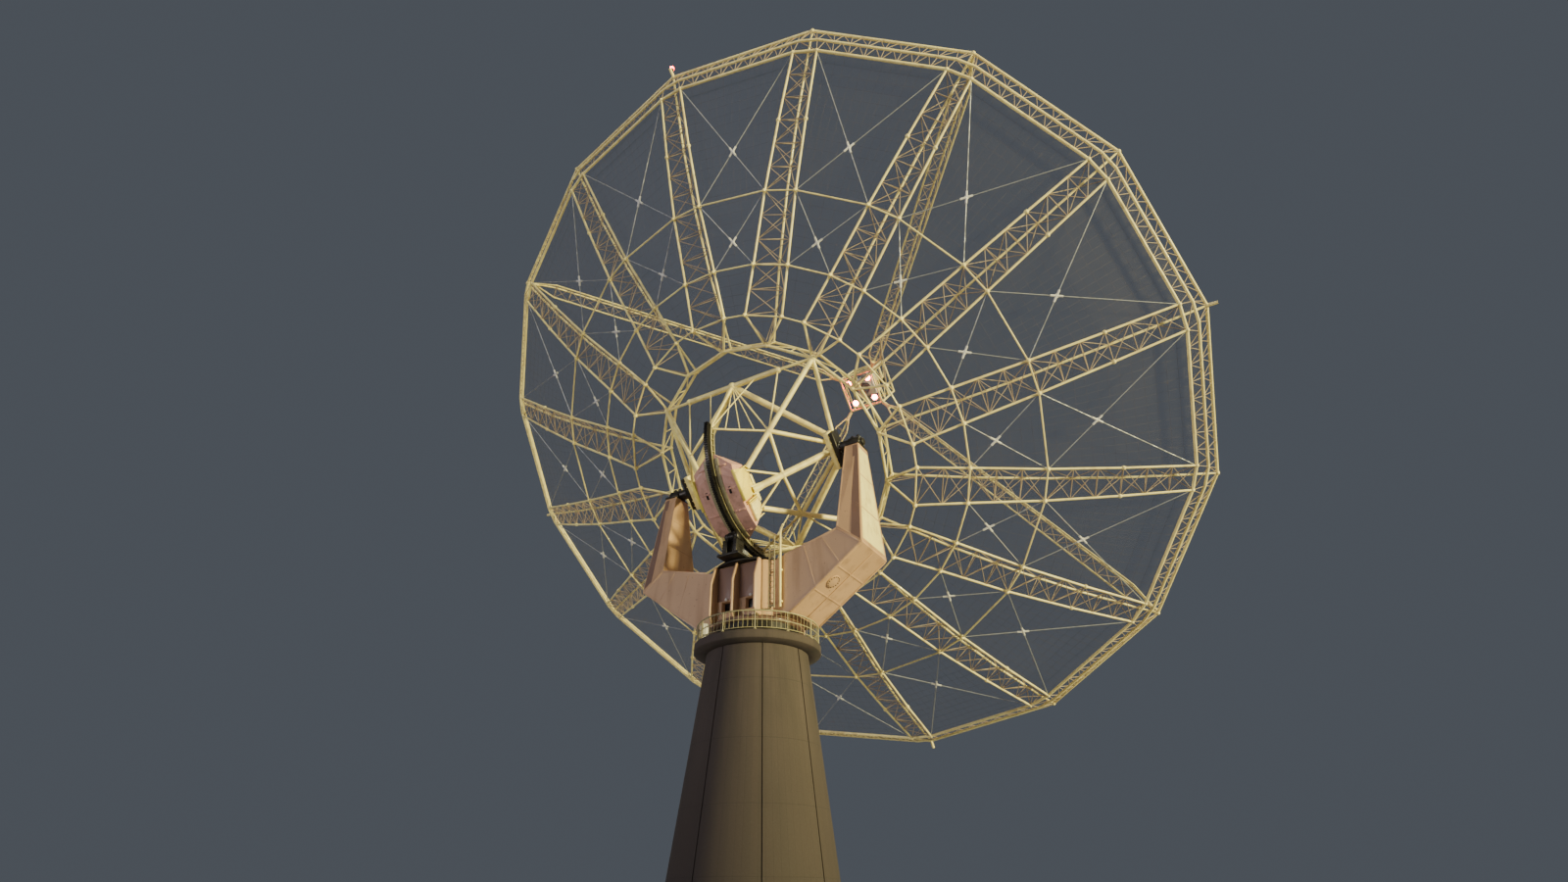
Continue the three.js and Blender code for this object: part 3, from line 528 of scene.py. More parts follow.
class Wire:
    """An output of a material's node tree. Sums and products of wires add Math nodes."""

    def __init__(self, tree, socket):
        self.tree = tree
        self.socket = socket

    def node(self, kind, settings, values, output=0):
        """Adds a node: its settings first, then the values or links of its sockets."""
        made = self.tree.nodes.new(kind)
        for name, value in settings.items():
            setattr(made, name, value)
        for name, value in values.items():
            if isinstance(value, Wire):
                self.tree.links.new(value.socket, made.inputs[name])
            else:
                made.inputs[name].default_value = value
        return Wire(self.tree, made.outputs[output])

    def math(self, operation, *values):
        """A Math node on these values or wires."""
        return self.node("ShaderNodeMath", {"operation": operation}, dict(enumerate(values)))

    def __add__(self, other):
        return self.math("ADD", self, other)

    __radd__ = __add__

    def __sub__(self, other):
        return self.math("SUBTRACT", self, other)

    def __rsub__(self, other):
        return self.math("SUBTRACT", other, self)

    def __mul__(self, other):
        return self.math("MULTIPLY", self, other)

    __rmul__ = __mul__

    def __lt__(self, other):
        return self.math("LESS_THAN", self, other)

    def noise(self, scale, detail=4.0, stretch=None):
        """Cloudy noise at this place, from about 0.3 to 0.7."""
        place = self
        if stretch:
            place = self.node("ShaderNodeMapping", {}, {"Vector": self, "Scale": stretch})
        return self.node("ShaderNodeTexNoise", {}, {"Vector": place, "Scale": scale, "Detail": detail})

    def between(self, low, high):
        """This value from low to high as 0 to 1, held at both ends."""
        return self.node("ShaderNodeMapRange", {}, {"Value": self, "From Min": low, "From Max": high})

    def tint(self, first, second):
        """A colour from the first to the second as this value goes from 0 to 1."""
        values = {0: self}
        for socket, tone in ((6, first), (7, second)):
            values[socket] = tone if isinstance(tone, Wire) else (*tone, 1.0)
        return self.node("ShaderNodeMix", {"data_type": "RGBA"}, values, 2)

    def axis(self, index):
        """One coordinate of this place."""
        return self.node("ShaderNodeSeparateXYZ", {}, {0: self}, index)

    def bump(self, strength, distance):
        """A surface raised by this height."""
        values = {"Height": self, "Strength": strength, "Distance": distance}
        return self.node("ShaderNodeBump", {}, values)


def shaded(tone, factor):
    """A colour made lighter or darker."""
    return tuple(min(1.0, channel * factor) for channel in tone)


def new_finish(name, roughness, metallic=0.0, coat=0.0):
    """A material, its shader and the place on the piece."""
    made = bpy.data.materials.new(name)
    made.use_nodes = True
    tree = made.node_tree
    shader = tree.nodes["Principled BSDF"]
    shader.inputs["Roughness"].default_value = roughness
    shader.inputs["Metallic"].default_value = metallic
    shader.inputs["Coat Weight"].default_value = coat
    coordinates = tree.nodes.new("ShaderNodeTexCoord")
    return made, shader, Wire(tree, coordinates.outputs["Object"])


def feed_in(shader, name, wire):
    """Links a wire to one of the shader's sockets."""
    wire.tree.links.new(wire.socket, shader.inputs[name])


def concrete_finish(colours):
    """Board-marked concrete in lifts, with clouds, damp streaks and a darker foot."""
    made, shader, place = new_finish("weathered_concrete", 0.88)
    boards_round, lifts_a_metre = 72, 0.82
    x, y, z = (place.axis(i) for i in range(3))
    turn = place.math("ARCTAN2", y, x) * (boards_round / TAU)
    board_line = turn.math("FRACT", turn) < 0.07
    lift_line = z.math("FRACT", z * lifts_a_metre) < 0.018
    board_tone = place.node(
        "ShaderNodeTexWhiteNoise", {"noise_dimensions": "1D"}, {"W": turn.math("FLOOR", turn)}
    )
    clouds = place.noise(0.55, 5.0).between(0.32, 0.68)
    streaks = place.noise(2.6, 5.0, (1, 1, 0.07)).between(0.46, 0.72)
    grain = place.noise(22.0, 6.0)
    run = streaks * z.between(1.2, 5.6)
    tone = clouds.tint(shaded(colours.concrete, 0.84), shaded(colours.concrete, 1.12))
    tone = z.between(5.4, 1.0).tint(tone, shaded(colours.concrete, 0.62))
    tone = (board_tone * 0.16).tint(tone, colours.concrete_dark)
    tone = (run * 0.62).tint(tone, colours.concrete_dark)
    tone = ((board_line + lift_line) * 0.3).tint(tone, colours.concrete_dark)
    tone = (grain.between(0.6, 0.8) * 0.25).tint(tone, shaded(colours.concrete, 1.3))
    feed_in(shader, "Base Color", tone)
    feed_in(shader, "Roughness", grain * 0.2 + 0.76)
    height = grain * 0.5 - (board_line + lift_line) * 0.8 + board_tone * 0.3
    feed_in(shader, "Normal", height.bump(0.35, 0.012))
    return made


def paint_finish(name, base, stain, wear=0.4, patch=0.5, roughness=0.5, run=(1, 1, 0.12)):
    """Old gloss paint on steel: plate by plate tone, weather streaks, flecks of rust."""
    made, shader, place = new_finish(name, roughness, coat=0.08)
    clouds = place.noise(patch, 4.0).between(0.3, 0.7)
    streaks = place.noise(patch * 6, 5.0, run).between(0.5, 0.74)
    flecks = place.noise(16.0, 5.0).between(0.66, 0.74)
    cell = place.node("ShaderNodeVectorMath", {"operation": "SNAP"}, {0: place, 1: (0.9, 0.9, 0.62)})
    plate_tone = place.node("ShaderNodeTexWhiteNoise", {"noise_dimensions": "3D"}, {"Vector": cell})
    tone = clouds.tint(shaded(base, 0.88), shaded(base, 1.1))
    tone = (plate_tone * 0.1).tint(tone, shaded(base, 0.7))
    tone = (streaks * wear).tint(tone, stain)
    tone = (flecks * wear * 1.1).tint(tone, shaded(stain, 0.45))
    feed_in(shader, "Base Color", tone)
    feed_in(shader, "Roughness", streaks * 0.18 + flecks * 0.2 + (roughness - 0.04))
    ripple = place.noise(3.0, 3.0) + place.noise(34.0, 3.0) * 0.15
    feed_in(shader, "Normal", ripple.bump(0.18, 0.012))
    return made


def steel_finish(name, base, film, roughness, metallic, scale=5.0):
    """Dark machined or greased steel, with a film of dirt and fine scratches."""
    made, shader, place = new_finish(name, roughness, metallic)
    film_mask = place.noise(scale, 5.0).between(0.4, 0.62)
    scratch = place.noise(scale * 14, 2.0, (1, 0.08, 1))
    tone = film_mask.tint(base, film)
    tone = (scratch.between(0.62, 0.75) * 0.35).tint(tone, shaded(base, 1.9))
    feed_in(shader, "Base Color", tone)
    feed_in(shader, "Roughness", roughness + film_mask * 0.22 - scratch * 0.1)
    feed_in(shader, "Metallic", metallic - film_mask * 0.5)
    feed_in(shader, "Normal", (scratch * 0.4 + film_mask).bump(0.15, 0.004))
    return made


def veil_finish(colours):
    """The fine reflecting mesh, too fine to model wire by wire: a thin see-through grey."""
    made, shader, place = new_finish("reflecting_mesh", 0.55, 0.4)
    sag = place.noise(0.7, 3.0).between(0.3, 0.7)
    feed_in(shader, "Base Color", sag.tint(shaded(colours.wire, 0.8), colours.wire))
    feed_in(shader, "Alpha", sag * 0.03 + 0.045)
    feed_in(shader, "Roughness", sag * 0.1 + 0.5)
    return made


def lamp_finish(name, base, strength):
    """Glass lit from inside, its glow varying in fine cloudy spots."""
    made, shader, place = new_finish(name, 0.18, coat=0.5)
    shader.inputs["Emission Strength"].default_value = strength
    glow = place.noise(26.0, 2.0).between(0.3, 0.7)
    tone = glow.tint(shaded(base, 0.6), base)
    feed_in(shader, "Base Color", tone)
    feed_in(shader, "Emission Color", tone)
    feed_in(shader, "Roughness", glow * 0.1 + 0.14)
    return made


def floor_finish(colours):
    """A plain pale floor with a faint unevenness."""
    made, shader, place = new_finish("studio_floor", 0.8)
    clouds = place.noise(0.12, 3.0)
    feed_in(shader, "Base Color", clouds.tint(shaded(colours.floor, 0.96), shaded(colours.floor, 1.03)))
    feed_in(shader, "Roughness", clouds * 0.1 + 0.72)
    return made


FINISHES = {}


def mix_finishes(colours):
    """Makes every material once."""
    c = colours
    FINISHES.update(
        concrete=concrete_finish(c),
        yoke=paint_finish("tan_paint", c.yoke, c.yoke_stain, 0.5, 0.6, 0.52),
        # Brown panel paint, and painted shade on the drum's low flange
        shade=paint_finish("brown_paint_and_painted_shade", c.shade, c.yoke_stain, 0.4, 0.8, 0.6),
        edge=paint_finish("pale_edge_paint", c.edge, c.yoke_stain, 0.3, 0.9, 0.6),
        weight=paint_finish("weight_paint", c.counterweight, c.yoke_stain, 0.6, 0.9, 0.6),
        panel=paint_finish("panel_paint", c.panel, c.yoke_stain, 0.3, 1.2, 0.5),
        tube=paint_finish("cream_paint", c.tube, c.tube_stain, 0.42, 0.8, 0.42, (1, 1, 0.6)),
        lacing=paint_finish("lacing_paint", c.lacing, c.tube_stain, 0.6, 1.6, 0.5, (1, 1, 1)),
        steel=steel_finish("dark_steel", c.steel, c.grease, 0.42, 0.75),
        # Greased steel of the gears, and the near-black painted shade in the drum's pockets and on the
        # weight
        gear=steel_finish("greased_gear_and_painted_shade", shaded(c.steel, 0.8), c.grease, 0.3, 0.85, 9.0),
        zinc=steel_finish("zinc_coat", c.zinc, shaded(c.zinc, 0.6), 0.45, 0.8, 8.0),
        feed=paint_finish("feed_paint", c.feed, shaded(c.zinc, 0.6), 0.3, 2.0, 0.4),
        wire=steel_finish("mesh_wire", c.wire, shaded(c.wire, 0.7), 0.6, 0.5, 8.0),
        veil=veil_finish(c),
        lamp=lamp_finish("lamp_glass", c.lamp, 60.0),
        hot_lamp=lamp_finish("feed_lamp_glass", c.flood_lamp, 160.0),
        floor=floor_finish(c),
    )


def coat(node, finish):
    """Gives a CAD node that stays its material."""
    painted(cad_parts[node], finish)


class Step:
    """What every operator of this file shares."""

    bl_options = {"REGISTER", "UNDO"}

    @property
    def tube(self):
        """The diameters."""
        return bpy.context.scene.telescope_tubes

    @property
    def detail(self):
        """The counts of small things."""
        return bpy.context.scene.telescope_detail


class TELESCOPE_OT_tower(Step, bpy.types.Operator):
    """Concrete tower with formwork joints, its head and the gallery railing"""

    bl_idname = "telescope.add_tower"
    bl_label = "Tower"

    joint_angle = math.radians(-52.2)
    joints = 8
    groove_width = 0.028
    groove_depth = 0.035
    box_angle = math.radians(-127.7)
    posts = 12

    def execute(self, context):
        set_in(self.shaft(), "tower", "concrete", "tower_shaft")
        low, edge = SHAFT_TOP + GAP, 0.03
        head = [(0, low), (TOWER_TOP, low), (HEAD_RADIUS - edge, HEAD_EDGE), (HEAD_RADIUS, HEAD_EDGE + edge)]
        head += [(HEAD_RADIUS, HEAD_TOP - edge), (HEAD_RADIUS - edge, HEAD_TOP), (0, HEAD_TOP)]
        crown = painted(turned("gallery_head", head, ROUND_SIDES), "concrete")
        set_in(crown, "tower", "concrete", "tower_head")
        set_in(self.railing(), "tower", "tube_paint", "gallery_railing")
        set_in(self.box(), "tower", "tube_paint")
        return {"FINISHED"}

    def box(self):
        """Junction box with a door, on two legs on the gallery."""
        turn = Matrix.Rotation(self.box_angle, 4, "Z")
        low = HEAD_TOP + 0.3
        case = block("case", (2.46, -0.2, low), (2.74, 0.2, low + 0.5), 0.02, turn)
        door = block("door", (2.73, -0.17, low + 0.03), (2.76, 0.17, low + 0.47), 0.008, turn)
        legs = []
        for y in (-0.14, 0.14):
            corners = (2.57, y - 0.025, HEAD_TOP), (2.63, y + 0.025, low + 0.02)
            legs.append(block("leg", *corners, 0.008, turn))
        return painted(joined("junction_box", case, door, *legs), "feed")

    def shaft(self):
        """A cone whose upright formwork joints are cut as narrow grooves."""
        only_none()
        bpy.ops.mesh.primitive_cone_add(
            vertices=ROUND_SIDES,
            radius1=TOWER_BASE * HALF,
            radius2=TOWER_TOP * HALF,
            depth=SHAFT_TOP * HALF,
            location=(0, 0, SHAFT_TOP * HALF / 2),
            rotation=(0, 0, self.joint_angle),
        )
        piece = bpy.context.object
        piece.name = "concrete_shaft"
        bpy.ops.object.transform_apply(location=True, rotation=True, scale=True)
        bpy.ops.object.mode_set(mode="EDIT")
        bpy.ops.mesh.select_mode(type="EDGE")
        bpy.ops.mesh.select_all(action="DESELECT")
        bpy.ops.object.mode_set(mode="OBJECT")
        mesh = piece.data
        first = None
        for edge in mesh.edges:
            a, b = (mesh.vertices[i].co for i in edge.vertices)
            if abs(a.z - b.z) < 1:
                continue
            low = a if a.z < b.z else b
            angle = math.atan2(low.y, low.x)
            if first is None:
                first = angle
            turns = (angle - first) / (TAU / self.joints)
            edge.select = abs(turns - round(turns)) < 0.01
        bpy.ops.object.mode_set(mode="EDIT")
        bpy.ops.mesh.bevel(offset=self.groove_width * HALF, segments=1, affect="EDGES")
        bpy.ops.mesh.select_mode(type="FACE")
        depth = -self.groove_depth * HALF
        bpy.ops.mesh.inset(thickness=0.002 * HALF, depth=depth, use_individual=True)
        bpy.ops.object.mode_set(mode="OBJECT")
        return painted(piece, "concrete")

    def railing(self):
        """Posts on pads, three rails and close balusters round the gallery."""
        kick, middle, top = HEAD_TOP + 0.1, HEAD_TOP + 0.45, HEAD_TOP + RAIL_HEIGHT

        def on_circle(turns, z):
            """A point of the railing's circle, so many turns round it."""
            return row(RAIL_RADIUS * math.cos(TAU * turns), RAIL_RADIUS * math.sin(TAU * turns), z)

        runs = []
        for z, size in ((top, 0.07), (middle, 0.045), (kick, 0.04)):
            runs.append(([on_circle(i / ROUND_SIDES, z) for i in range(ROUND_SIDES)], size, True))
        feet = []
        for i in range(self.posts):
            foot = on_circle(i / self.posts, HEAD_TOP)
            runs.append(([foot, on_circle(i / self.posts, top)], 0.06))
            feet.append(Matrix.Translation(foot))
        bars = self.detail.balusters
        for i in range(bars):
            turns = (i + 0.5) / bars
            runs.append(([on_circle(turns, kick), on_circle(turns, top)], 0.022))
        rails = tubes("rails", runs, 6)
        pad = turned("pad", [(0, 0), (0.08, 0), (0.08, 0.03), (0.04, 0.05), (0, 0.05)], 12)
        return painted(joined("railing", rails, stamped("pads", pad, feet)), "edge")


class TELESCOPE_OT_bearing(Step, bpy.types.Operator):
    """Azimuth bearing and slewing ring, with their bolts"""

    bl_idname = "telescope.add_bearing"
    bl_label = "Azimuth bearing"

    def execute(self, context):
        r = RACE_RADIUS
        low, high = HEAD_TOP + GAP, RACE_TOP
        race = [(r - 0.5, low), (r, low), (r, low + 0.08), (r - 0.05, low + 0.1), (r - 0.05, high - 0.08)]
        race += [(r, high - 0.06), (r, high), (r - 0.5, high), (r - 0.5, low)]
        ring = painted(turned("ring", race, ROUND_SIDES), "steel")
        lip = Matrix.Translation(row(0, 0, low + 0.08))
        bolts = painted(bolt_ring("bolts", 0.07, r - 0.03, 48, lip), "zinc")
        set_in(joined("azimuth_race", ring, bolts), "tower", "dark_steel", "azimuth_bearing")
        low, high = RACE_TOP + GAP, DRUM_LOW - GAP
        outer = r + 0.08
        slew = [(r - 0.6, low), (outer - 0.06, low), (outer - 0.06, low + 0.06), (outer, low + 0.08)]
        slew += [(outer, high), (r - 0.6, high), (r - 0.6, low)]
        ring = painted(turned("slewing_ring_dressed", slew, ROUND_SIDES), "steel")
        set_in(ring, "yoke", "dark_steel", "slewing_ring")
        return {"FINISHED"}


class TELESCOPE_OT_drum(Step, bpy.types.Operator):
    """Drum of the yoke with upright gusset plates, panels and openings"""

    bl_idname = "telescope.add_drum"
    bl_label = "Drum"

    panels = ((-1.15, -0.07), (0.07, 1.15))
    pockets = ((-1.02, -0.42), (0.36, 0.9))
    bolts = 40
    bolt_radius = 2.06

    def execute(self, context):
        pieces = [painted(bevelled(self.core(), 0.015, 1), "yoke")]
        for s in (-1, 1):
            pieces += self.face(s)
        pieces += self.flanges()
        set_in(joined("drum", *pieces), "yoke", "yoke_paint", "yoke_drum")
        return {"FINISHED"}

    def core(self):
        """The round core, with a flat and two pockets cut into its front and its back."""
        low, high, beyond = DRUM_LOW + 0.1, DRUM_TOP - 0.06, 3
        profile = [(0, low), (DRUM_RADIUS, low), (DRUM_RADIUS, high), (0, high)]
        core = turned("core", profile, ROUND_SIDES)
        for s in (-1, 1):
            near, far = span(s, DRUM_FACE, beyond)
            corners = (-beyond, near, DRUM_LOW - 1), (beyond, far, DRUM_TOP + 1)
            self.carve(core, block("flat", *corners, 0.001))
            near, far = span(s, DRUM_FACE - 0.3, beyond)
            for x0, x1 in self.pockets:
                corners = (s * x0, near, DRUM_LOW + 0.6), (s * x1, far, DRUM_LOW + 1.12)
                self.carve(core, block("pocket", *corners, 0.001))
        return core

    def face(self, s):
        """Shade panels, a near-black plate at the back of each pocket as painted shade, gusset plates and
        knobs, in front (-1) or behind (1).
        """
        low, high = DRUM_LOW, DRUM_TOP
        pieces = []
        near, far = span(s, DRUM_FACE - 0.02, DRUM_FACE + 0.02)
        for x0, x1 in self.panels:
            panel = block("panel", (x0, near, low + 1.16), (x1, far, high - 0.16), 0.012)
            pieces.append(painted(panel, "shade"))
        # A near-black plate at the back of each pocket: painted shade inside the opening
        near, far = span(s, DRUM_FACE - 0.29, DRUM_FACE - 0.27)
        pocket_shade = block("pocket_shade", (-1.1, near, low + 0.58), (1.1, far, low + 1.14), 0.004)
        pieces.append(painted(pocket_shade, "gear"))
        outline = [(s * y, z) for y, z in GUSSET_OUTLINE]
        for x in (-GUSSET_X, 0, GUSSET_X):
            plane = Matrix.Translation(row(x, 0, 0)) @ ACROSS_X
            pieces.append(painted(plate("gusset", outline, 0.1, plane, 0.012), "yoke"))
        knob = [(0, 0), (0.07, 0), (0.07, 0.06), (0.04, 0.09), (0, 0.09)]
        for x in (-0.72, 0.63):
            spot = facing(row(s * x, s * (DRUM_FACE + 0.01), low + 1.2), Vector((0, s, 0)))
            pieces.append(painted(turned("knob", knob, 16, spot), "feed"))
        return pieces

    def flanges(self):
        """The low flange, in dark brown as painted shade under the gussets, and the top plate, each with its
        bolts.
        """
        r, low, high, edge = DRUM_FLANGE, DRUM_LOW, DRUM_TOP, 0.02
        pieces = []
        # The low flange's dark brown is painted shade below the gussets; the top plate is dark steel
        for z0, z1, finish in ((low, low + 0.18, "shade"), (high - 0.12, high, "steel")):
            rim = [(0, z0), (r - edge, z0), (r, z0 + edge), (r, z1 - edge), (r - edge, z1), (0, z1)]
            pieces.append(painted(turned("flange", rim, ROUND_SIDES), finish))
        spots = []
        for i in range(self.bolts):
            angle = TAU * (i + 0.5) / self.bolts
            x, y = self.bolt_radius * math.cos(angle), self.bolt_radius * math.sin(angle)
            if abs(y) > DRUM_FACE + 0.06 and abs(abs(x) - GUSSET_X) > 0.12:
                spots.append(Matrix.Translation(row(x, y, low + 0.18)))
        pieces.append(painted(stamped("bolts", bolt(0.08), spots), "steel"))
        top = Matrix.Translation(row(0, 0, high))
        pieces.append(painted(bolt_ring("bolts", 0.07, r - 0.1, self.bolts, top), "steel"))
        return pieces

    def carve(self, core, cutter):
        """Cuts one block out of the core."""
        hollow = core.modifiers.new("hollow", "BOOLEAN")
        hollow.operation = "DIFFERENCE"
        hollow.object = cutter
        hollow.solver = "EXACT"
        only(core)
        bpy.ops.object.modifier_apply(modifier="hollow")
        bpy.data.objects.remove(cutter)


class TELESCOPE_OT_yoke(Step, bpy.types.Operator):
    """Box girder arms and horns with edge strips, splices, seams and hatches"""

    bl_idname = "telescope.add_yoke"
    bl_label = "Arms and horns"

    def execute(self, context):
        for side in ("right", "left"):
            coat("yoke_arm_" + side, "yoke")
            coat("yoke_horn_" + side, "yoke")
        for trim, name in ((self.arm_trim(), "arm_trim"), (self.horn_trim(), "horn_trim")):
            for piece, _ in both_sides(trim, name):
                set_in(piece, "yoke", "yoke_paint")
        return {"FINISHED"}

    def strip(self, a, b, width, thick, normal):
        """A flat strip from a to b on a face, its broad side along the face."""
        along = b - a
        z = normal.normalized()
        x = along.normalized()
        y = z.cross(x)
        place = Matrix.Translation((a + b) / 2) @ Matrix((x, y, z)).transposed().to_4x4()
        half = along.length / HALF / 2
        corners = (-half, -width / 2, -thick / 2), (half, width / 2, thick / 2)
        return block("strip", *corners, min(thick, width) * 0.2, place)

    def arm_trim(self):
        """Strips on the right arm's edges and joints, and a bolted hatch in its underside."""
        pieces = []
        top_start = DRUM_FLANGE + 0.06
        share = (top_start - ARM_ROOT[0]) / (ARM_ELBOW[0] - ARM_ROOT[0])
        edges = [*ARM_STRIPS, (part_way(ARM_ROOT, ARM_ELBOW, share), (4.98, 16.1))]
        for s in (-1, 1):
            y, face = s * YOKE_HALF_DEPTH, Vector((0, s, 0))
            for (x0, z0), (x1, z1) in edges:
                pieces.append(self.strip(row(x0, y, z0), row(x1, y, z1), 0.09, 0.03, face))
            for share in (0.36, 0.7):
                x0, z0 = part_way(ARM_LOW, ARM_OUTER, share)
                x1, z1 = part_way(ARM_SEAM_TOP, ARM_ELBOW, share)
                pieces.append(self.strip(row(x0, y, z0), row(x1, y, z1), 0.05, 0.02, face))
        under = Vector((ARM_OUTER[1] - ARM_LOW[1], 0, ARM_LOW[0] - ARM_OUTER[0]))
        for y in (-1.29, 0.0, 1.29):
            pieces.append(self.strip(row(2.62, y, 12.7), row(6.12, y, 15.13), 0.08, 0.03, under))
        for share in (0.33, 0.66):
            x, z = part_way(ARM_LOW, ARM_OUTER, share)
            pieces.append(self.strip(row(x, -1.32, z), row(x, 1.32, z), 0.08, 0.03, under))
        body = painted(joined("strips", *pieces), "yoke")
        x, z = part_way(ARM_LOW, ARM_OUTER, 0.5)
        spot = facing(row(x, -0.62, z), under)
        cover = [(0, 0), (0.36, 0), (0.36, 0.03), (0.33, 0.045), (0, 0.045)]
        hatch = painted(turned("hatch", cover, 32, spot), "yoke")
        bolts = painted(bolt_ring("bolts", 0.05, 0.3, 14, raised(spot, 0.04)), "steel")
        return joined("arm_trim", body, hatch, bolts)

    def corner(self, u, v, w):
        """A point on the right horn: u goes from its inner to its outer side, v in Y, w upwards."""
        foot_x, foot_z = part_way(ARM_ELBOW, ARM_OUTER, u)
        foot = (foot_x, YOKE_HALF_DEPTH * (2 * v - 1), foot_z)
        head_x = HORN_TOP_X[0] + (HORN_TOP_X[1] - HORN_TOP_X[0]) * u
        head = (head_x, HORN_TOP_HALF_DEPTH * (2 * v - 1), HORN_TOP)
        return row(*part_way(foot, head, w))

    def outward(self, v):
        """The direction that the horn's face at v faces."""
        across = self.corner(1, v, 0) - self.corner(0, v, 0)
        normal = across.cross(self.corner(0, v, 1) - self.corner(0, v, 0)).normalized()
        return normal if normal.y * (v - 0.5) > 0 else -normal

    def horn_trim(self):
        """Strips, shade panels, outer sheets and rows of bolts on the right horn."""
        corner = self.corner
        strips = []
        for v in (0, 1):
            normal = self.outward(v)
            for u, width in ((0.03, 0.07), (0.6, 0.05), (0.97, 0.07)):
                strips.append(self.strip(corner(u, v, 0.01), corner(u, v, 0.995), width, 0.03, normal))
            for w in (0.02, 0.34, 0.67):
                strips.append(self.strip(corner(0.02, v, w), corner(0.98, v, w), 0.06, 0.03, normal))
        for u, sign in ((0, -1), (1, 1)):
            normal = Vector((sign, 0, 0.03 * sign))
            for v in (0.03, 0.97):
                strips.append(self.strip(corner(u, v, 0.01), corner(u, v, 0.995), 0.07, 0.03, normal))
            for w in (0.03, 0.34, 0.67):
                strips.append(self.strip(corner(u, 0.02, w), corner(u, 0.98, w), 0.06, 0.03, normal))
        shades = []
        for v in (0, 1):
            ends = [corner(u, v, w) for u, w in ((0.6, 0.02), (0.97, 0.02), (0.97, 0.98), (0.6, 0.98))]
            shades.append(self.slab(ends, self.outward(v), 0.016))
        sheets = []
        for low, high in ((0.045, 0.335), (0.345, 0.665), (0.675, 0.955)):
            ends = [corner(1, v, w) for v, w in ((0.06, low), (0.94, low), (0.94, high), (0.06, high))]
            sheets.append(self.slab(ends, Vector((1, 0, 0.03)), 0.012))
        spots = []
        for v, sign in ((0, -1), (1, 1)):
            for w in (0.34, 0.67):
                for i in range(9):
                    for shift in (-0.012, 0.012):
                        spot = corner(0.08 + 0.105 * i, v, w + shift)
                        spots.append(facing(spot, Vector((0, sign, 0.2))))
        parts = [
            painted(joined("strips", *strips), "yoke"),
            painted(joined("shades", *shades), "shade"),
            painted(joined("sheets", *sheets), "tube"),
            painted(stamped("bolts", bolt(0.035), spots), "yoke"),
        ]
        return joined("horn_trim", *parts)

    def slab(self, corners, normal, thick):
        """A thin four-sided sheet that stands on a face."""
        mesh = bpy.data.meshes.new("slab")
        mesh.from_pydata(corners, [], [(0, 1, 2, 3)])
        piece = linked("slab", mesh)
        only(piece)
        bpy.ops.object.mode_set(mode="EDIT")
        bpy.ops.mesh.select_all(action="SELECT")
        bpy.ops.mesh.extrude_region_move(TRANSFORM_OT_translate={"value": normal * thick * HALF})
        bpy.ops.mesh.select_all(action="SELECT")
        bpy.ops.mesh.normals_make_consistent(inside=False)
        bpy.ops.object.mode_set(mode="OBJECT")
        return piece


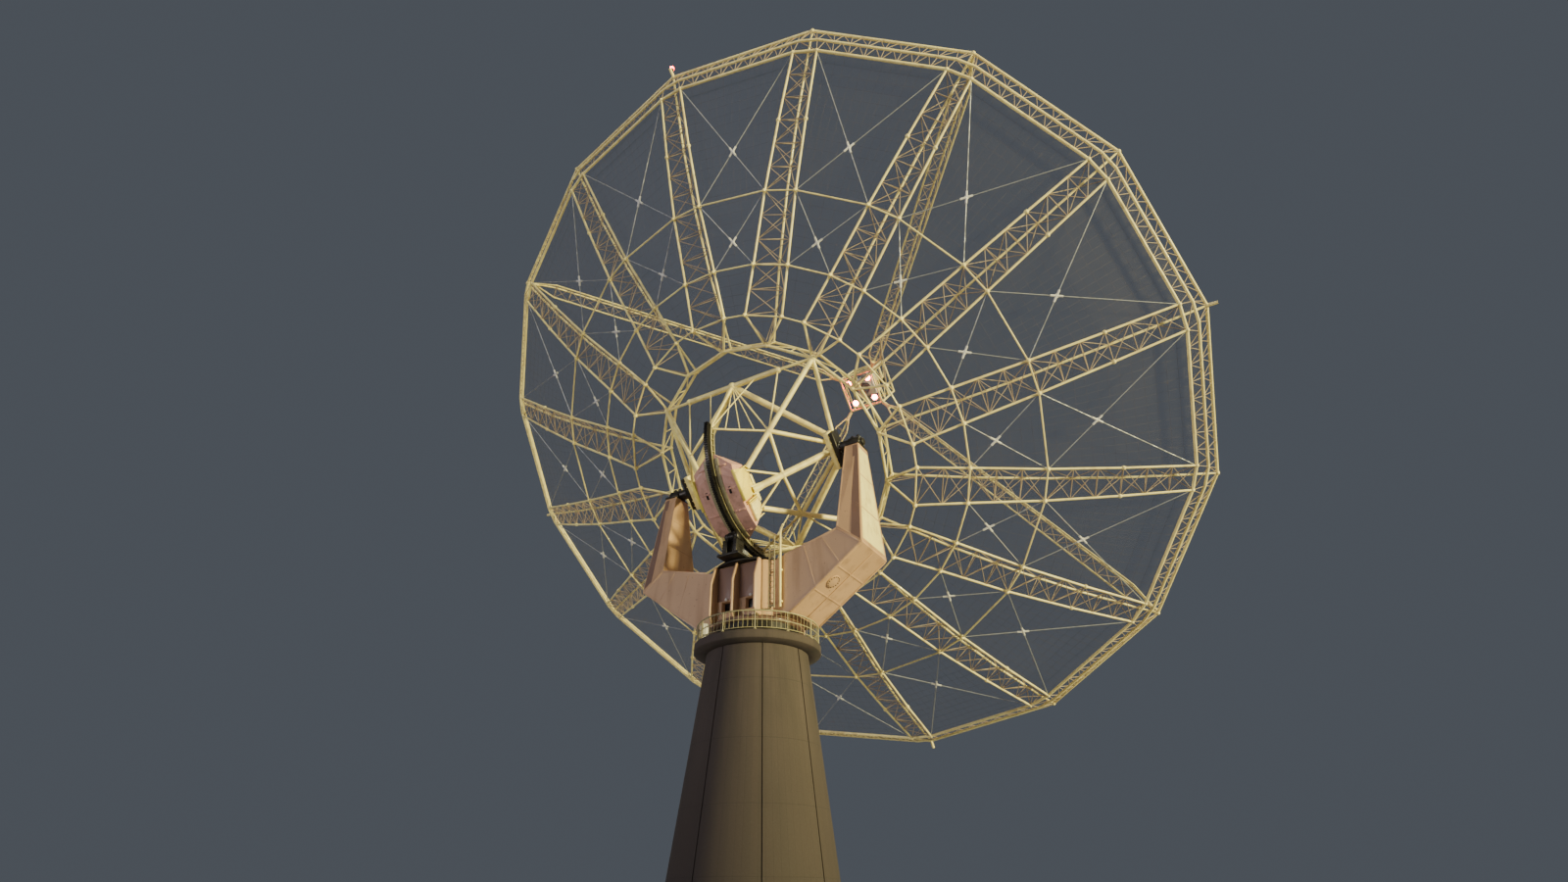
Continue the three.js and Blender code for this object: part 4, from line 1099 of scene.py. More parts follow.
class TELESCOPE_OT_elevation_bearings(Step, bpy.types.Operator):
    """Pillow blocks on the horns and the trunnions that turn in them"""

    bl_idname = "telescope.add_elevation_bearings"
    bl_label = "Elevation bearings"

    def execute(self, context):
        for piece, side in both_sides(self.pillow(), "pillow_block"):
            set_in(piece, "yoke", "dark_steel", "bearing_block_" + side)
        for piece, side in both_sides(self.trunnion(), "trunnion_dressed"):
            set_in(piece, "dish", "dark_steel", "trunnion_" + side)
        return {"FINISHED"}

    def pillow(self):
        """The right bearing block: base, saddle, cheeks, sleeve, oil cups and bolts."""
        face, end = BEARING_FACE, HORN_TOP_X[1]
        seat = HORN_TOP + GAP
        foot = seat + 0.1
        sleeve = [(0.21, face), (0.29, face), (0.32, face + 0.03), (0.32, end - 0.07), (0.29, end - 0.04)]
        sleeve += [(0.21, end - 0.04), (0.21, face)]
        depth = HORN_TOP_HALF_DEPTH + 0.08
        pieces = [turned("sleeve", sleeve, 64, elevation_axis())]
        pieces.append(block("base", (face, -depth, seat), (end + 0.02, depth, foot), 0.015))
        saddle = (face + 0.03, -0.34, foot - 0.02), (end - 0.08, 0.34, AXIS_HEIGHT - 0.16)
        pieces.append(block("saddle", *saddle, 0.03))
        for s in (-1, 1):
            low, high = span(s, 0.2, 0.36)
            cheek = (face + 0.01, low, foot - 0.02), (end - 0.06, high, AXIS_HEIGHT - 0.01)
            pieces.append(block("cheek", *cheek, 0.03))
            studs = [Matrix.Translation(row(x, s * 0.46, foot)) for x in (face + 0.14, end - 0.14)]
            pieces.append(stamped("studs", bolt(0.1), studs))
        cup = [(0, 0.28), (0.1, 0.28), (0.1, 0.38), (0.08, 0.42), (0.04, 0.43), (0.04, 0.46), (0, 0.47)]
        for x in (face + 0.16, end - 0.2):
            pieces.append(turned("cup", cup, 20, Matrix.Translation(row(x, 0, AXIS_HEIGHT))))
        body = painted(joined("body", *pieces), "steel")
        bolts = bolt_ring("bolts", 0.04, 0.265, 12, raised(elevation_axis(), end - 0.045))
        return joined("pillow_block", body, painted(bolts, "zinc"))

    def trunnion(self):
        """The right trunnion: a finned hub and a plate on the dish, and the stepped shaft."""
        place = dish_place()
        inner = [block("hub", (4.22, -0.98, -0.35), (4.5, 0.98, 0.49), 0.04, place)]
        for up in (-0.72, -0.42, 0.42, 0.72):
            inner.append(block("fin", (4.24, up - 0.03, -0.355), (4.6, up + 0.03, 0.495), 0.012, place))
        hub = painted(joined("hub", *inner), "tube")
        flange = block("flange", (4.5, -0.92, -0.36), (4.74, 0.92, 0.5), 0.05, place)
        face = BEARING_FACE - GAP
        profile = [(0, 4.6), (0.36, 4.7), (0.36, 4.8), (0.28, 4.84), (0.28, face), (0.2, face)]
        profile += [(0.2, 6.02), (0.17, 6.05), (0, 6.05)]
        shaft = turned("shaft", profile, 48, elevation_axis())
        body = painted(joined("body", flange, shaft), "steel")
        bolts = bolt_ring("bolts", 0.06, 0.31, 10, raised(elevation_axis(), 4.8))
        return joined("trunnion_dressed", body, hub, painted(bolts, "zinc"))


class TELESCOPE_OT_drive(Step, bpy.types.Operator):
    """Elevation drive: pinion, pedestals, gearboxes and motors"""

    bl_idname = "telescope.add_drive"
    bl_label = "Elevation drive"

    teeth = 12

    def execute(self, context):
        y = PINION_AWAY * math.cos(PINION_ANGLE)
        z = AXIS_HEIGHT + PINION_AWAY * math.sin(PINION_ANGLE)
        seat = DRUM_TOP + GAP
        along = Matrix.Translation(row(0, y, z)) @ ALONG_X
        foot = seat + 0.1 - z
        cheek = [(-0.28, foot), (0.4, foot), (0.3, -0.2), (0.17, 0.04), (-0.17, 0.04)]
        cap = [(0, 0.15), (0.18, 0.15), (0.2, 0.17), (0.2, 0.34), (0.15, 0.38), (0, 0.38)]
        shell = [(0, -0.22), (0.13, -0.22), (0.15, -0.19), (0.15, 0.14), (0.1, 0.16), (0.1, 0.2), (0, 0.2)]
        pieces = [block("bed", (-0.6, y - 0.4, seat), (0.6, y + 0.65, seat + 0.12), 0.02)]
        motors = []
        for s in (-1, 1):
            plane = Matrix.Translation(row(0.2 * s, y, z)) @ ACROSS_X
            pieces.append(plate("cheek", cheek, 0.09, plane, 0.015))
            turn = along if s > 0 else along @ Matrix.Rotation(math.pi, 4, "X")
            pieces.append(turned("cap", cap, 32, turn))
            low, high = span(s, 0.24, 0.4)
            case = (low, y - 0.26, seat + 0.1), (high, y + 0.38, z - 0.22)
            pieces.append(block("gearbox", *case, 0.03))
            for i in range(4):
                lift = seat + 0.2 + i * 0.13
                fin = (low - 0.01, y - 0.28, lift), (high + 0.01, y + 0.4, lift + 0.03)
                pieces.append(block("fin", *fin, 0.006))
            x = 0.36 * s
            level = Matrix.Rotation(math.radians(90), 4, "X")
            spot = Matrix.Translation(row(x, y + 0.42, seat + 0.32))
            motors.append(turned("motor", shell, 24, spot @ level))
            corners = (x - 0.13, y + 0.3, seat + 0.1), (x + 0.13, y + 0.62, seat + 0.2)
            motors.append(block("foot", *corners, 0.012))
        body = painted(joined("body", *pieces), "steel")
        motor = painted(joined("motors", *motors), "zinc")
        pinion = painted(self.pinion(along), "gear")
        machinery = joined("elevation_machinery", body, motor, pinion)
        set_in(machinery, "yoke", "dark_steel", "elevation_drive")
        return {"FINISHED"}

    def pinion(self, along):
        """A toothed wheel as a plate whose outline walks up and down the teeth."""
        root, tip = 0.19, 0.235
        outline = []
        for i in range(self.teeth):
            for share, r in ((0, root), (0.28, root), (0.4, tip), (0.88, tip)):
                angle = TAU * (i + share) / self.teeth
                outline.append((r * math.cos(angle), r * math.sin(angle)))
        return plate("pinion", outline, 0.3, along)


class TELESCOPE_OT_access(Step, bpy.types.Operator):
    """Access ladder and cable mast on the yoke"""

    bl_idname = "telescope.add_access"
    bl_label = "Ladder and mast"

    def execute(self, context):
        ladder = painted(tubes("ladder", self.ladder(), 8), "edge")
        set_in(ladder, "yoke", "tube_paint", "access_ladder")
        mast = painted(tubes("mast", self.mast(), 12), "tube")
        set_in(mast, "yoke", "tube_paint", "cable_mast")
        return {"FINISHED"}

    def ladder(self):
        """Two stringers, rungs and the clips that hold them off the drum."""
        x, y, half = 1.84, -1.78, 0.14
        low, high = DRUM_LOW + 0.35, 16.3

        def rung(z, size):
            """A bar from stringer to stringer."""
            return [row(x - half, y, z), row(x + half, y, z)], size

        runs = [([row(x + s * half, y, low), row(x + s * half, y, high)], 0.06) for s in (-1, 1)]
        z = low + 0.14
        while z < high - 0.05:
            runs.append(rung(z, 0.036))
            z += 0.28
        inward = DRUM_FLANGE / math.hypot(x, y)
        for z in (low + 0.1, DRUM_TOP - 0.06):
            runs.append(([row(x, y, z), row(x * inward, y * inward, z)], 0.07))
            runs.append(rung(z, 0.05))
        return runs

    def mast(self):
        """A tube that rises beside the arm and bends over outwards, with two brackets."""
        bend = [(2.12, -1.5, 12.9), (2.12, -1.5, 16.5), (2.14, -1.51, 16.62), (2.2, -1.54, 16.73)]
        bend += [(2.28, -1.58, 16.81), (2.35, -1.62, 16.85)]
        x, y = bend[0][:2]
        runs = [([row(*point) for point in bend], 0.11)]
        for z in (13.2, 14.7):
            runs.append(([row(x, y, z), row(x, -YOKE_HALF_DEPTH, z)], 0.1))
        return runs


class TELESCOPE_OT_cradle(Step, bpy.types.Operator):
    """Tubular cradle between the hub ring, the trunnions and the counterweights"""

    bl_idname = "telescope.add_cradle"
    bl_label = "Cradle"

    def execute(self, context):
        c = HUB_RADIUS * math.sqrt(0.5)
        ring = (c, c, HUB_BACK)
        middle = (0, *CROSSBAR[1:])
        heavy = [
            (ring, PANEL_CORNER, 0.27),
            ((4.3, 0, 0), PANEL_MIDDLE, 0.34),
            ((-CROSSBAR[0], *CROSSBAR[1:]), CROSSBAR, 0.29),
            (middle, (4.3, 0.72, 0.2), 0.34),
            (ring, (4.5, 0.85, 0.3), 0.24),
            (KNOT, SIDE_KNOT, 0.17),
            (KNOT, (4.3, 0.4, 0), 0.22),
            (CROSSBAR, ring, 0.155),
        ]
        light = [
            (middle, KNOT, 0.09),
            (CROSSBAR, KNOT, 0.09),
            (SIDE_KNOT, (1.28, 1.0, -3.7), 0.12),
            (SIDE_KNOT, (1.28, 0.2, -3.9), 0.08),
            ((CROSSBAR[0] / 2, *CROSSBAR[1:]), ring, 0.07),
        ]
        runs = [run for member in heavy for run in self.repeated(*member)]
        thin = [run for member in light for run in self.repeated(*member)]
        thick = painted(tubes("heavy", runs, 16), "tube")
        fine = painted(tubes("light", thin, 8), "tube")
        welds = (ring, 0.36), (middle, 0.44), (CROSSBAR, 0.34), (KNOT, 0.3), (SIDE_KNOT, 0.37)
        spots = []
        for point, size in welds:
            for places in self.quarters(point):
                spots.append(Matrix.Translation(at(*places[0])) @ Matrix.Scale(size, 4))
        knots = painted(stamped("knots", ball(1.0, 3), spots), "tube")
        piece = joined("cradle_tubes", thick, fine, knots, *self.panels())
        set_in(piece, "dish", "tube_paint", "cradle")
        return {"FINISHED"}

    def panels(self):
        """End panels of the weights with their ribs and brackets, and the tie between them."""
        place = dish_place()
        side = place @ ACROSS_X
        wide = PANEL_FACE - WEIGHT_END - GAP
        bright = []
        plain = [block("tie", (-PANEL_FACE, -0.7, -3.6), (PANEL_FACE, 0.7, -3.3), 0.02, place)]
        for s in (-1, 1):
            middle = Matrix.Translation((s * (PANEL_FACE - wide / 2) * HALF, 0, 0))
            bright.append(plate("panel", PANEL_UPPER, wide, middle @ side, 0.02))
            plain.append(plate("bracket", PANEL_LOWER, wide, middle @ side, 0.02))
            low, high = span(s, WEIGHT_END + 0.02, PANEL_FACE + 0.03)
            for up in (1.2, 0.75, 0.3):
                reach = -3.6 + 0.25 * (up - 1.07) if up > 1.07 else -3.55
                rib = (low, up - 0.025, -4.7), (high, up + 0.025, reach)
                bright.append(block("rib", *rib, 0.008, place))
            for up in (-0.34, -0.44):
                bar = (low, up - 0.03, -4.55), (high, up + 0.03, -3.6)
                bright.append(block("bar", *bar, 0.01, place))
            for up in (-0.6, -0.85, -1.1, -1.3):
                fin = (low, up - 0.025, -4.36), (high, up + 0.025, -3.62)
                plain.append(block("fin", *fin, 0.008, place))
        return painted(joined("bright", *bright), "panel"), painted(joined("plain", *plain), "tube")

    def quarters(self, *points):
        """These points in each quarter that the cradle's symmetry gives, without repeats."""
        seen = {}
        for sx in (1, -1):
            for su in (1, -1):
                places = [(round(x * sx, 4) + 0.0, round(up * su, 4) + 0.0, out) for x, up, out in points]
                seen[tuple(sorted(places))] = places
        return seen.values()

    def repeated(self, a, b, diameter):
        """A tube in each quarter."""
        return [([at(*p), at(*q)], diameter) for p, q in self.quarters(a, b)]


class TELESCOPE_OT_sector(Step, bpy.types.Operator):
    """Toothed elevation sector on its braced frame"""

    bl_idname = "telescope.add_sector"
    bl_label = "Elevation sector"

    fins = 25
    arc_steps = 48

    def execute(self, context):
        half = GEAR_HALF_ANGLE
        teeth = self.detail.gear_teeth
        outline = []
        for i in range(teeth):
            for share, r in ((0.0, GEAR_ROOT), (0.3, GEAR_ROOT), (0.42, GEAR_RADIUS), (0.88, GEAR_RADIUS)):
                outline.append((-half + 2 * half * (i + share) / teeth, r))
        outline.append((half, GEAR_ROOT))
        gear = self.arc_plate("toothed_sector", outline + self.arc(GEAR_INNER, -1), 0.2)
        set_in(painted(gear, "gear"), "dish", "gear_steel", "sector_gear")
        pieces = []
        bands = (WEB_INNER, WEB_OUTER, 0.1), (WEB_INNER, 4.52, 0.3), (4.71, WEB_OUTER, 0.3)
        for inner, outer, thick in bands:
            pieces.append(self.arc_plate("band", self.arc(outer) + self.arc(inner, -1), thick))
        for i in range(self.fins):
            angle = math.radians(-half + 2 * half * (i + 0.5) / self.fins)
            spin = dish_place() @ Matrix.Rotation(-angle, 4, "X")
            pieces.append(block("fin", (-0.14, -0.02, -4.75), (0.14, 0.02, -4.48), 0.006, spin))
        frame_plates = painted(joined("plates", *pieces), "edge")
        struts = painted(tubes("struts", self.struts(), 8), "tube")
        set_in(joined("sector_bracing", frame_plates, struts), "dish", "tube_paint", "sector_frame")
        return {"FINISHED"}

    def struts(self):
        """Tubes from the sector's two ends to the cradle's crossbars and knots, with lacing."""
        angle = math.radians(GEAR_HALF_ANGLE - 2)
        runs = []
        for su in (1, -1):
            end = Vector((0, 4.6 * math.sin(angle) * su, -4.6 * math.cos(angle)))
            bar = (0, CROSSBAR[1] * su, CROSSBAR[2])
            runs.append(([at(*end), at(*bar)], 0.18))
            for sx in (1, -1):
                knot = Vector((KNOT[0] * sx, KNOT[1] * su, KNOT[2]))
                runs.append(([at(*end), at(*knot)], 0.11))
                for share in (0.25, 0.5, 0.75):
                    runs.append(([at(*bar), at(*end.lerp(knot, share))], 0.055))
                runs.append(([at(*end), at(CROSSBAR[0] * sx / 2, *bar[1:])], 0.06))
        return runs

    def arc(self, radius, way=1):
        """Points at a radius from one end of the sector to the other, or back again."""
        half, steps = GEAR_HALF_ANGLE, self.arc_steps
        return [(way * half * (2 * i / steps - 1), radius) for i in range(steps + 1)]

    def arc_plate(self, name, outline, thickness):
        """A plate across the elevation axis, its outline given as angle and radius."""
        spots = [(r * math.sin(math.radians(a)), -r * math.cos(math.radians(a))) for a, r in outline]
        return plate(name, spots, thickness, dish_place() @ ACROSS_X)


class TELESCOPE_OT_counterweights(Step, bpy.types.Operator):
    """Counterweight slabs with plate seams, tie bolts and a near-black patch of painted shade for a pocket
    """

    bl_idname = "telescope.add_counterweights"
    bl_label = "Counterweights"

    edge_angle = 26
    edge_plates = 12

    def execute(self, context):
        for side in ("right", "left"):
            coat("counterweight_" + side, "weight")
        for piece, _ in both_sides(self.trim(), "counterweight_trim"):
            set_in(piece, "dish", "counterweight_paint")
        return {"FINISHED"}

    def trim(self):
        """Strips, bolts, a pale edge plate beside the gear and a near-black block of painted shade for a
        pocket, on the right weight.
        """
        place = dish_place()
        face = WEIGHT_FACE
        pieces = []
        for angle in (-21, -7, 7, 21):
            spin = place @ Matrix.Rotation(math.radians(angle), 4, "X")
            reach = WEIGHT_END - 0.04 if abs(angle) < 20 else 0.8
            corners = (0.46, -0.05, -face - 0.015), (reach, 0.05, -face + 0.03)
            pieces.append(block("strip", *corners, 0.008, spin))
            back = Matrix.Rotation(math.pi, 4, "X")
            spots = [spin @ Matrix.Translation(row(x, 0, -face - 0.015)) @ back for x in (0.56, 0.72)]
            pieces.append(stamped("bolts", bolt(0.06), spots))
        body = painted(joined("strips", *pieces), "weight")
        edge = []
        reach = self.edge_angle / self.edge_plates
        half = face * math.tan(math.radians(reach))
        for i in range(self.edge_plates):
            spin = place @ Matrix.Rotation(math.radians(reach * (2 * i + 1) - self.edge_angle), 4, "X")
            edge.append(block("edge", (0.21, -half, -face - 0.02), (0.42, half, -face + 0.03), 0.004, spin))
        pale = painted(joined("edge", *edge), "edge")
        # A near-black block a little proud of the face: painted shade standing for a pocket, not a cut
        spin = place @ Matrix.Rotation(math.radians(6), 4, "X")
        slot = block("slot", (0.6, -0.17, -face - 0.012), (0.72, 0.17, -face + 0.1), 0.01, spin)
        return joined("counterweight_trim", body, pale, painted(slot, "gear"))


class TELESCOPE_OT_hub(Step, bpy.types.Operator):
    """Hub ring: two sixteen-sided rings with posts and zigzag lacing"""

    bl_idname = "telescope.add_hub"
    bl_label = "Hub ring"

    def execute(self, context):
        r, back, front = HUB_RADIUS, HUB_BACK, front_out(HUB_RADIUS)

        def point(k, out):
            """A point of the ring, k a rib number or half way between two."""
            whole = math.floor(k)
            return on_rib(whole, r, 0, out).lerp(on_rib(whole + 1, r, 0, out), k - whole)

        rings = [([point(k, out) for k in range(RIBS)], self.tube.hub_chord, True) for out in (back, front)]
        # A bar from the back ring to the front ring: where it starts, where it ends, its diameter
        bars = (0, 0, 0.09), (0.5, 0.5, 0.055), (0, 0.5, 0.06), (1, 0.5, 0.06)
        runs = []
        for k in range(RIBS):
            for start, end, size in bars:
                runs.append(([point(k + start, back), point(k + end, front)], size))
        chords = painted(tubes("rings", rings, 12), "tube")
        lacing = painted(tubes("lacing", runs, 8), "tube")
        spots = [Matrix.Translation(point(k, out)) for k in range(RIBS) for out in (back, front)]
        knots = painted(stamped("knots", ball(0.25), spots), "tube")
        set_in(joined("hub_truss", chords, lacing, knots), "dish", "tube_paint", "hub_ring")
        return {"FINISHED"}


class TELESCOPE_OT_ribs(Step, bpy.types.Operator):
    """Sixteen triangular ribs, laced on all three faces"""

    bl_idname = "telescope.add_ribs"
    bl_label = "Ribs"

    panels = (1, 2, 3, 3, 3)

    def execute(self, context):
        names = ["rib_truss_%02d" % k for k in range(1, RIBS + 1)]
        for k, piece in enumerate(round_the_dish(self.rib(), names, 1), 1):
            set_in(piece, "dish", "tube_paint", "rib_%02d" % k)
        return {"FINISHED"}

    def rib(self):
        """The first rib: a chord under the mesh, two behind it, and their lacing."""
        nodes = [NODE_START, NODE_HUB, NODE_RING1, NODE_RING2, NODE_RING3, NODE_INNER]
        fronts = [(r, front_out(r)) for r in FRONT_RADII]
        chord = self.tube.rib_chord
        long_runs = [([on_rib(0, r, 0, out) for r, out in fronts], chord)]
        for s in (-1, 1):
            long_runs.append(([on_rib(0, r, s * w, out) for r, w, out in nodes], chord))
        stations = []
        for low, high, panels in zip(nodes, nodes[1:], self.panels):
            for i in range(panels):
                stations.append(part_way(low, high, i / panels))
        stations.append(list(NODE_INNER))
        thin = self.tube.lacing
        lace = []

        def corners(i):
            """The three chords' places at a station: left, right and under the mesh."""
            r, w, out = stations[i]
            return on_rib(0, r, -w, out), on_rib(0, r, w, out), on_rib(0, r, 0, between(fronts, r)[1])

        for i in range(len(stations)):
            left, right, top = corners(i)
            lace += [([left, right], thin), ([left, top], thin), ([right, top], thin)]
            if i + 1 < len(stations):
                far_left, far_right, far_top = corners(i + 1)
                lace.append(([left, far_right], thin))
                if i >= 1:
                    lace.append(([right, far_left], thin * 0.8))
                if i % 2:
                    lace += [([top, far_left], thin), ([top, far_right], thin)]
                else:
                    lace += [([left, far_top], thin), ([right, far_top], thin)]
        chords = painted(tubes("chords", long_runs, 10), "tube")
        lacing = painted(tubes("lacing", lace, 6), "lacing")
        spots = []
        for r, w, out in nodes[1:]:
            spots += [Matrix.Translation(on_rib(0, r, s * w, out)) for s in (-1, 1)]
        knots = painted(stamped("knots", ball(self.tube.node_ball), spots), "tube")
        return joined("rib_truss_01", chords, lacing, knots)


class TELESCOPE_OT_purlins(Step, bpy.types.Operator):
    """Purlin rings behind the ribs, with a clamp at every chord"""

    bl_idname = "telescope.add_purlins"
    bl_label = "Purlin rings"

    drops = (("inner", NODE_HUB, 0.0947), ("middle", NODE_RING1, 0.1118), ("outer", NODE_RING2, 0.1101))

    def execute(self, context):
        for name, (r, w, out), drop in self.drops:
            points = [on_rib(k, r, s * w, out - drop) for k in range(RIBS) for s in (-1, 1)]
            ring = painted(tubes("ring", [(points, self.tube.purlin, True)], 10), "tube")
            spots = [Matrix.Translation(point) for point in points]
            clamps = painted(stamped("clamps", ball(0.2), spots), "tube")
            piece = joined("purlins_" + name, ring, clamps)
            set_in(piece, "dish", "tube_paint", "purlin_ring_" + name)
        return {"FINISHED"}


class TELESCOPE_OT_rim(Step, bpy.types.Operator):
    """Rim truss in four quarters: three chords with zigzag lacing, posts and stubs"""

    bl_idname = "telescope.add_rim"
    bl_label = "Rim truss"

    def execute(self, context):
        master = self.quarter()
        set_in(master, "dish", "tube_paint", "rim_truss_right")
        for i, side in enumerate(QUARTERS[1:], 1):
            piece = copied(master, "rim_" + side, dish_turn(i * RIBS_APART))
            set_in(piece, "dish", "tube_paint", "rim_truss_" + side)
        return {"FINISHED"}

    def bay(self, k, node, t):
        """A point along the bay after rib k, t from -1 at that rib to 1 at the next."""
        r, w, out = node
        half = STEP / 2
        reach = r * math.sin(half) - w * math.cos(half)
        return on_rib(k + 0.5, r * math.cos(half) + w * math.sin(half), t * reach, out)

    def quarter(self):
        """The right quarter, from half way before rib -1 to half way after rib 2."""
        thick = self.tube.rim_chord
        chords = []
        for node, size in ((NODE_RIM, thick), (NODE_MIDDLE, thick * 0.9), (NODE_INNER, thick)):
            path = [self.bay(-2, node, 0)]
            for k in range(-1, 3):
                if node[1]:
                    path.append(self.bay(k - 1, node, 1))
                path.append(self.bay(k, node, -1))
            path.append(self.bay(2, node, 0))
            chords.append((path, size))
        stub = [on_rib(0, RIM_RADIUS, 0, RIM_OUT), on_rib(0, RIM_RADIUS + 0.495, 0, RIM_OUT - 0.05)]
        lace, spots = self.corners()
        lace = self.zigzags() + lace
        parts = [
            painted(tubes("chords", chords, 10), "tube"),
            painted(tubes("stub", [(stub, 0.17)], 12), "tube"),
            painted(tubes("lacing", lace, 6), "lacing"),
            painted(stamped("knots", ball(0.25), spots), "tube"),
        ]
        return joined("rim_right", *parts)

    def zigzags(self):
        """Posts and zigzag lacing between the three chords, bay by bay."""
        thin = self.tube.lacing
        panels = self.detail.rim_panels
        step = 2 / panels
        # At the ribs the rim's own lacing stops a little short of its corner
        short = 0.94
        lace = []
        for k in range(-2, 3):
            first = panels // 2 if k == -2 else 0
            last = panels // 2 if k == 2 else panels
            for i in range(first, last + 1):
                t = step * i - 1
                inner, middle = self.bay(k, NODE_INNER, t), self.bay(k, NODE_MIDDLE, t)
                lace += [([inner, middle], thin), ([middle, self.bay(k, NODE_RIM, t * short)], thin)]
                if i < last:
                    middle_half = self.bay(k, NODE_MIDDLE, t + step / 2)
                    rim_half = self.bay(k, NODE_RIM, (t + step / 2) * short)
                    lace.append(([inner, middle_half], thin))
                    lace.append(([self.bay(k, NODE_INNER, t + step), middle_half], thin))
                    lace.append(([middle, rim_half], thin))
                    lace.append(([self.bay(k, NODE_MIDDLE, t + step), rim_half], thin))
        return lace

    def corners(self):
        """Bars at each rib's end, and the places of the rim's corner knots."""
        thin = self.tube.lacing
        lace = []
        spots = []
        for k in range(-1, 3):
            corner = on_rib(k, *NODE_RIM)
            r, w, out = NODE_MIDDLE
            left, right = on_rib(k, r, -w, out), on_rib(k, r, w, out)
            inner = on_rib(k, NODE_INNER[0], -NODE_INNER[1], NODE_INNER[2])
            lace += [([corner, left], thin * 1.2), ([corner, right], thin * 1.2), ([inner, right], thin)]
            spots.append(Matrix.Translation(corner))
        return lace, spots


class TELESCOPE_OT_stays(Step, bpy.types.Operator):
    """Crossed stays between neighbouring ribs, with a cross plate where they meet"""

    bl_idname = "telescope.add_stays"
    bl_label = "Crossed stays"

    def execute(self, context):
        runs = []
        spots = []
        knots = []
        for k in range(RIBS):
            for inner, outer in ((NODE_RING1, NODE_RING2), (NODE_RING2, NODE_INNER)):
                ends = []
                for s in (1, -1):
                    near = on_rib(k if s > 0 else k + 1, inner[0], s * inner[1], inner[2])
                    far = on_rib(k + 1 if s > 0 else k, outer[0], -s * outer[1], outer[2])
                    runs.append(([near, far], self.tube.stay))
                    ends.append((near, far))
                (a, b), (c, d) = ends
                share = (c - a).length / ((c - a).length + (d - b).length)
                crossing = a.lerp(b, share)
                normal = (b - a).cross(d - c)
                spots.append(facing(crossing, normal, b - a))
                for start, end in ends:
                    along = (end - start).normalized() * 0.32 * HALF
                    knots.append(([crossing - along, crossing + along], self.tube.stay * 2.2))
        rods = painted(tubes("rods", runs, 6), "zinc")
        sleeves = painted(tubes("sleeves", knots, 8), "feed")
        plate_edge = [(0, -0.03), (0.1, -0.03), (0.11, -0.02), (0.11, 0.02), (0.1, 0.03), (0, 0.03)]
        plates = painted(stamped("plates", turned("cross", plate_edge, 12), spots), "feed")
        set_in(joined("stays", rods, sleeves, plates), "dish", "dark_steel")
        return {"FINISHED"}


class TELESCOPE_OT_mesh(Step, bpy.types.Operator):
    """Reflecting mesh: its fine veil and the bearing wires in rings and rays"""

    bl_idname = "telescope.add_mesh"
    bl_label = "Reflecting mesh"

    ring_step = 0.55
    rays_a_bay = 16

    def execute(self, context):
        names = ["mesh_wires_" + side for side in QUARTERS]
        for side, piece in zip(QUARTERS, round_the_dish(self.wires(), names, RIBS_APART)):
            coat("reflector_mesh_" + side, "veil")
            set_in(piece, "dish", "mesh_wire")
        return {"FINISHED"}

    def wires(self):
        """The right quarter's wires: rings at even steps, and rays that are closer further out."""
        stops = [(r, front_out(r) + MESH_LIFT) for r in MESH_RADII]
        size = self.tube.wire

        def spot(r, k):
            """A place on the mesh at a radius, k a rib number or part of the way between two."""
            whole = math.floor(k)
            out = between(stops, r)[1]
            return on_rib(whole, r, 0, out).lerp(on_rib(whole + 1, r, 0, out), k - whole)

        runs = []
        r = MESH_RADII[0] + 0.1
        while r < MESH_RADII[-1]:
            runs.append(([spot(r, k) for k in range(-2, 3)], size))
            r += self.ring_step
        for k in range(-2, 2):
            for i in range(self.rays_a_bay):
                start = RAY_STARTS[math.gcd(i, self.rays_a_bay)]
                radii = [start] + [m for m in MESH_RADII if m > start]
                runs.append(([spot(m, k + i / self.rays_a_bay) for m in radii], size))
        return painted(tubes("mesh_wires_right", runs, 4), "wire")


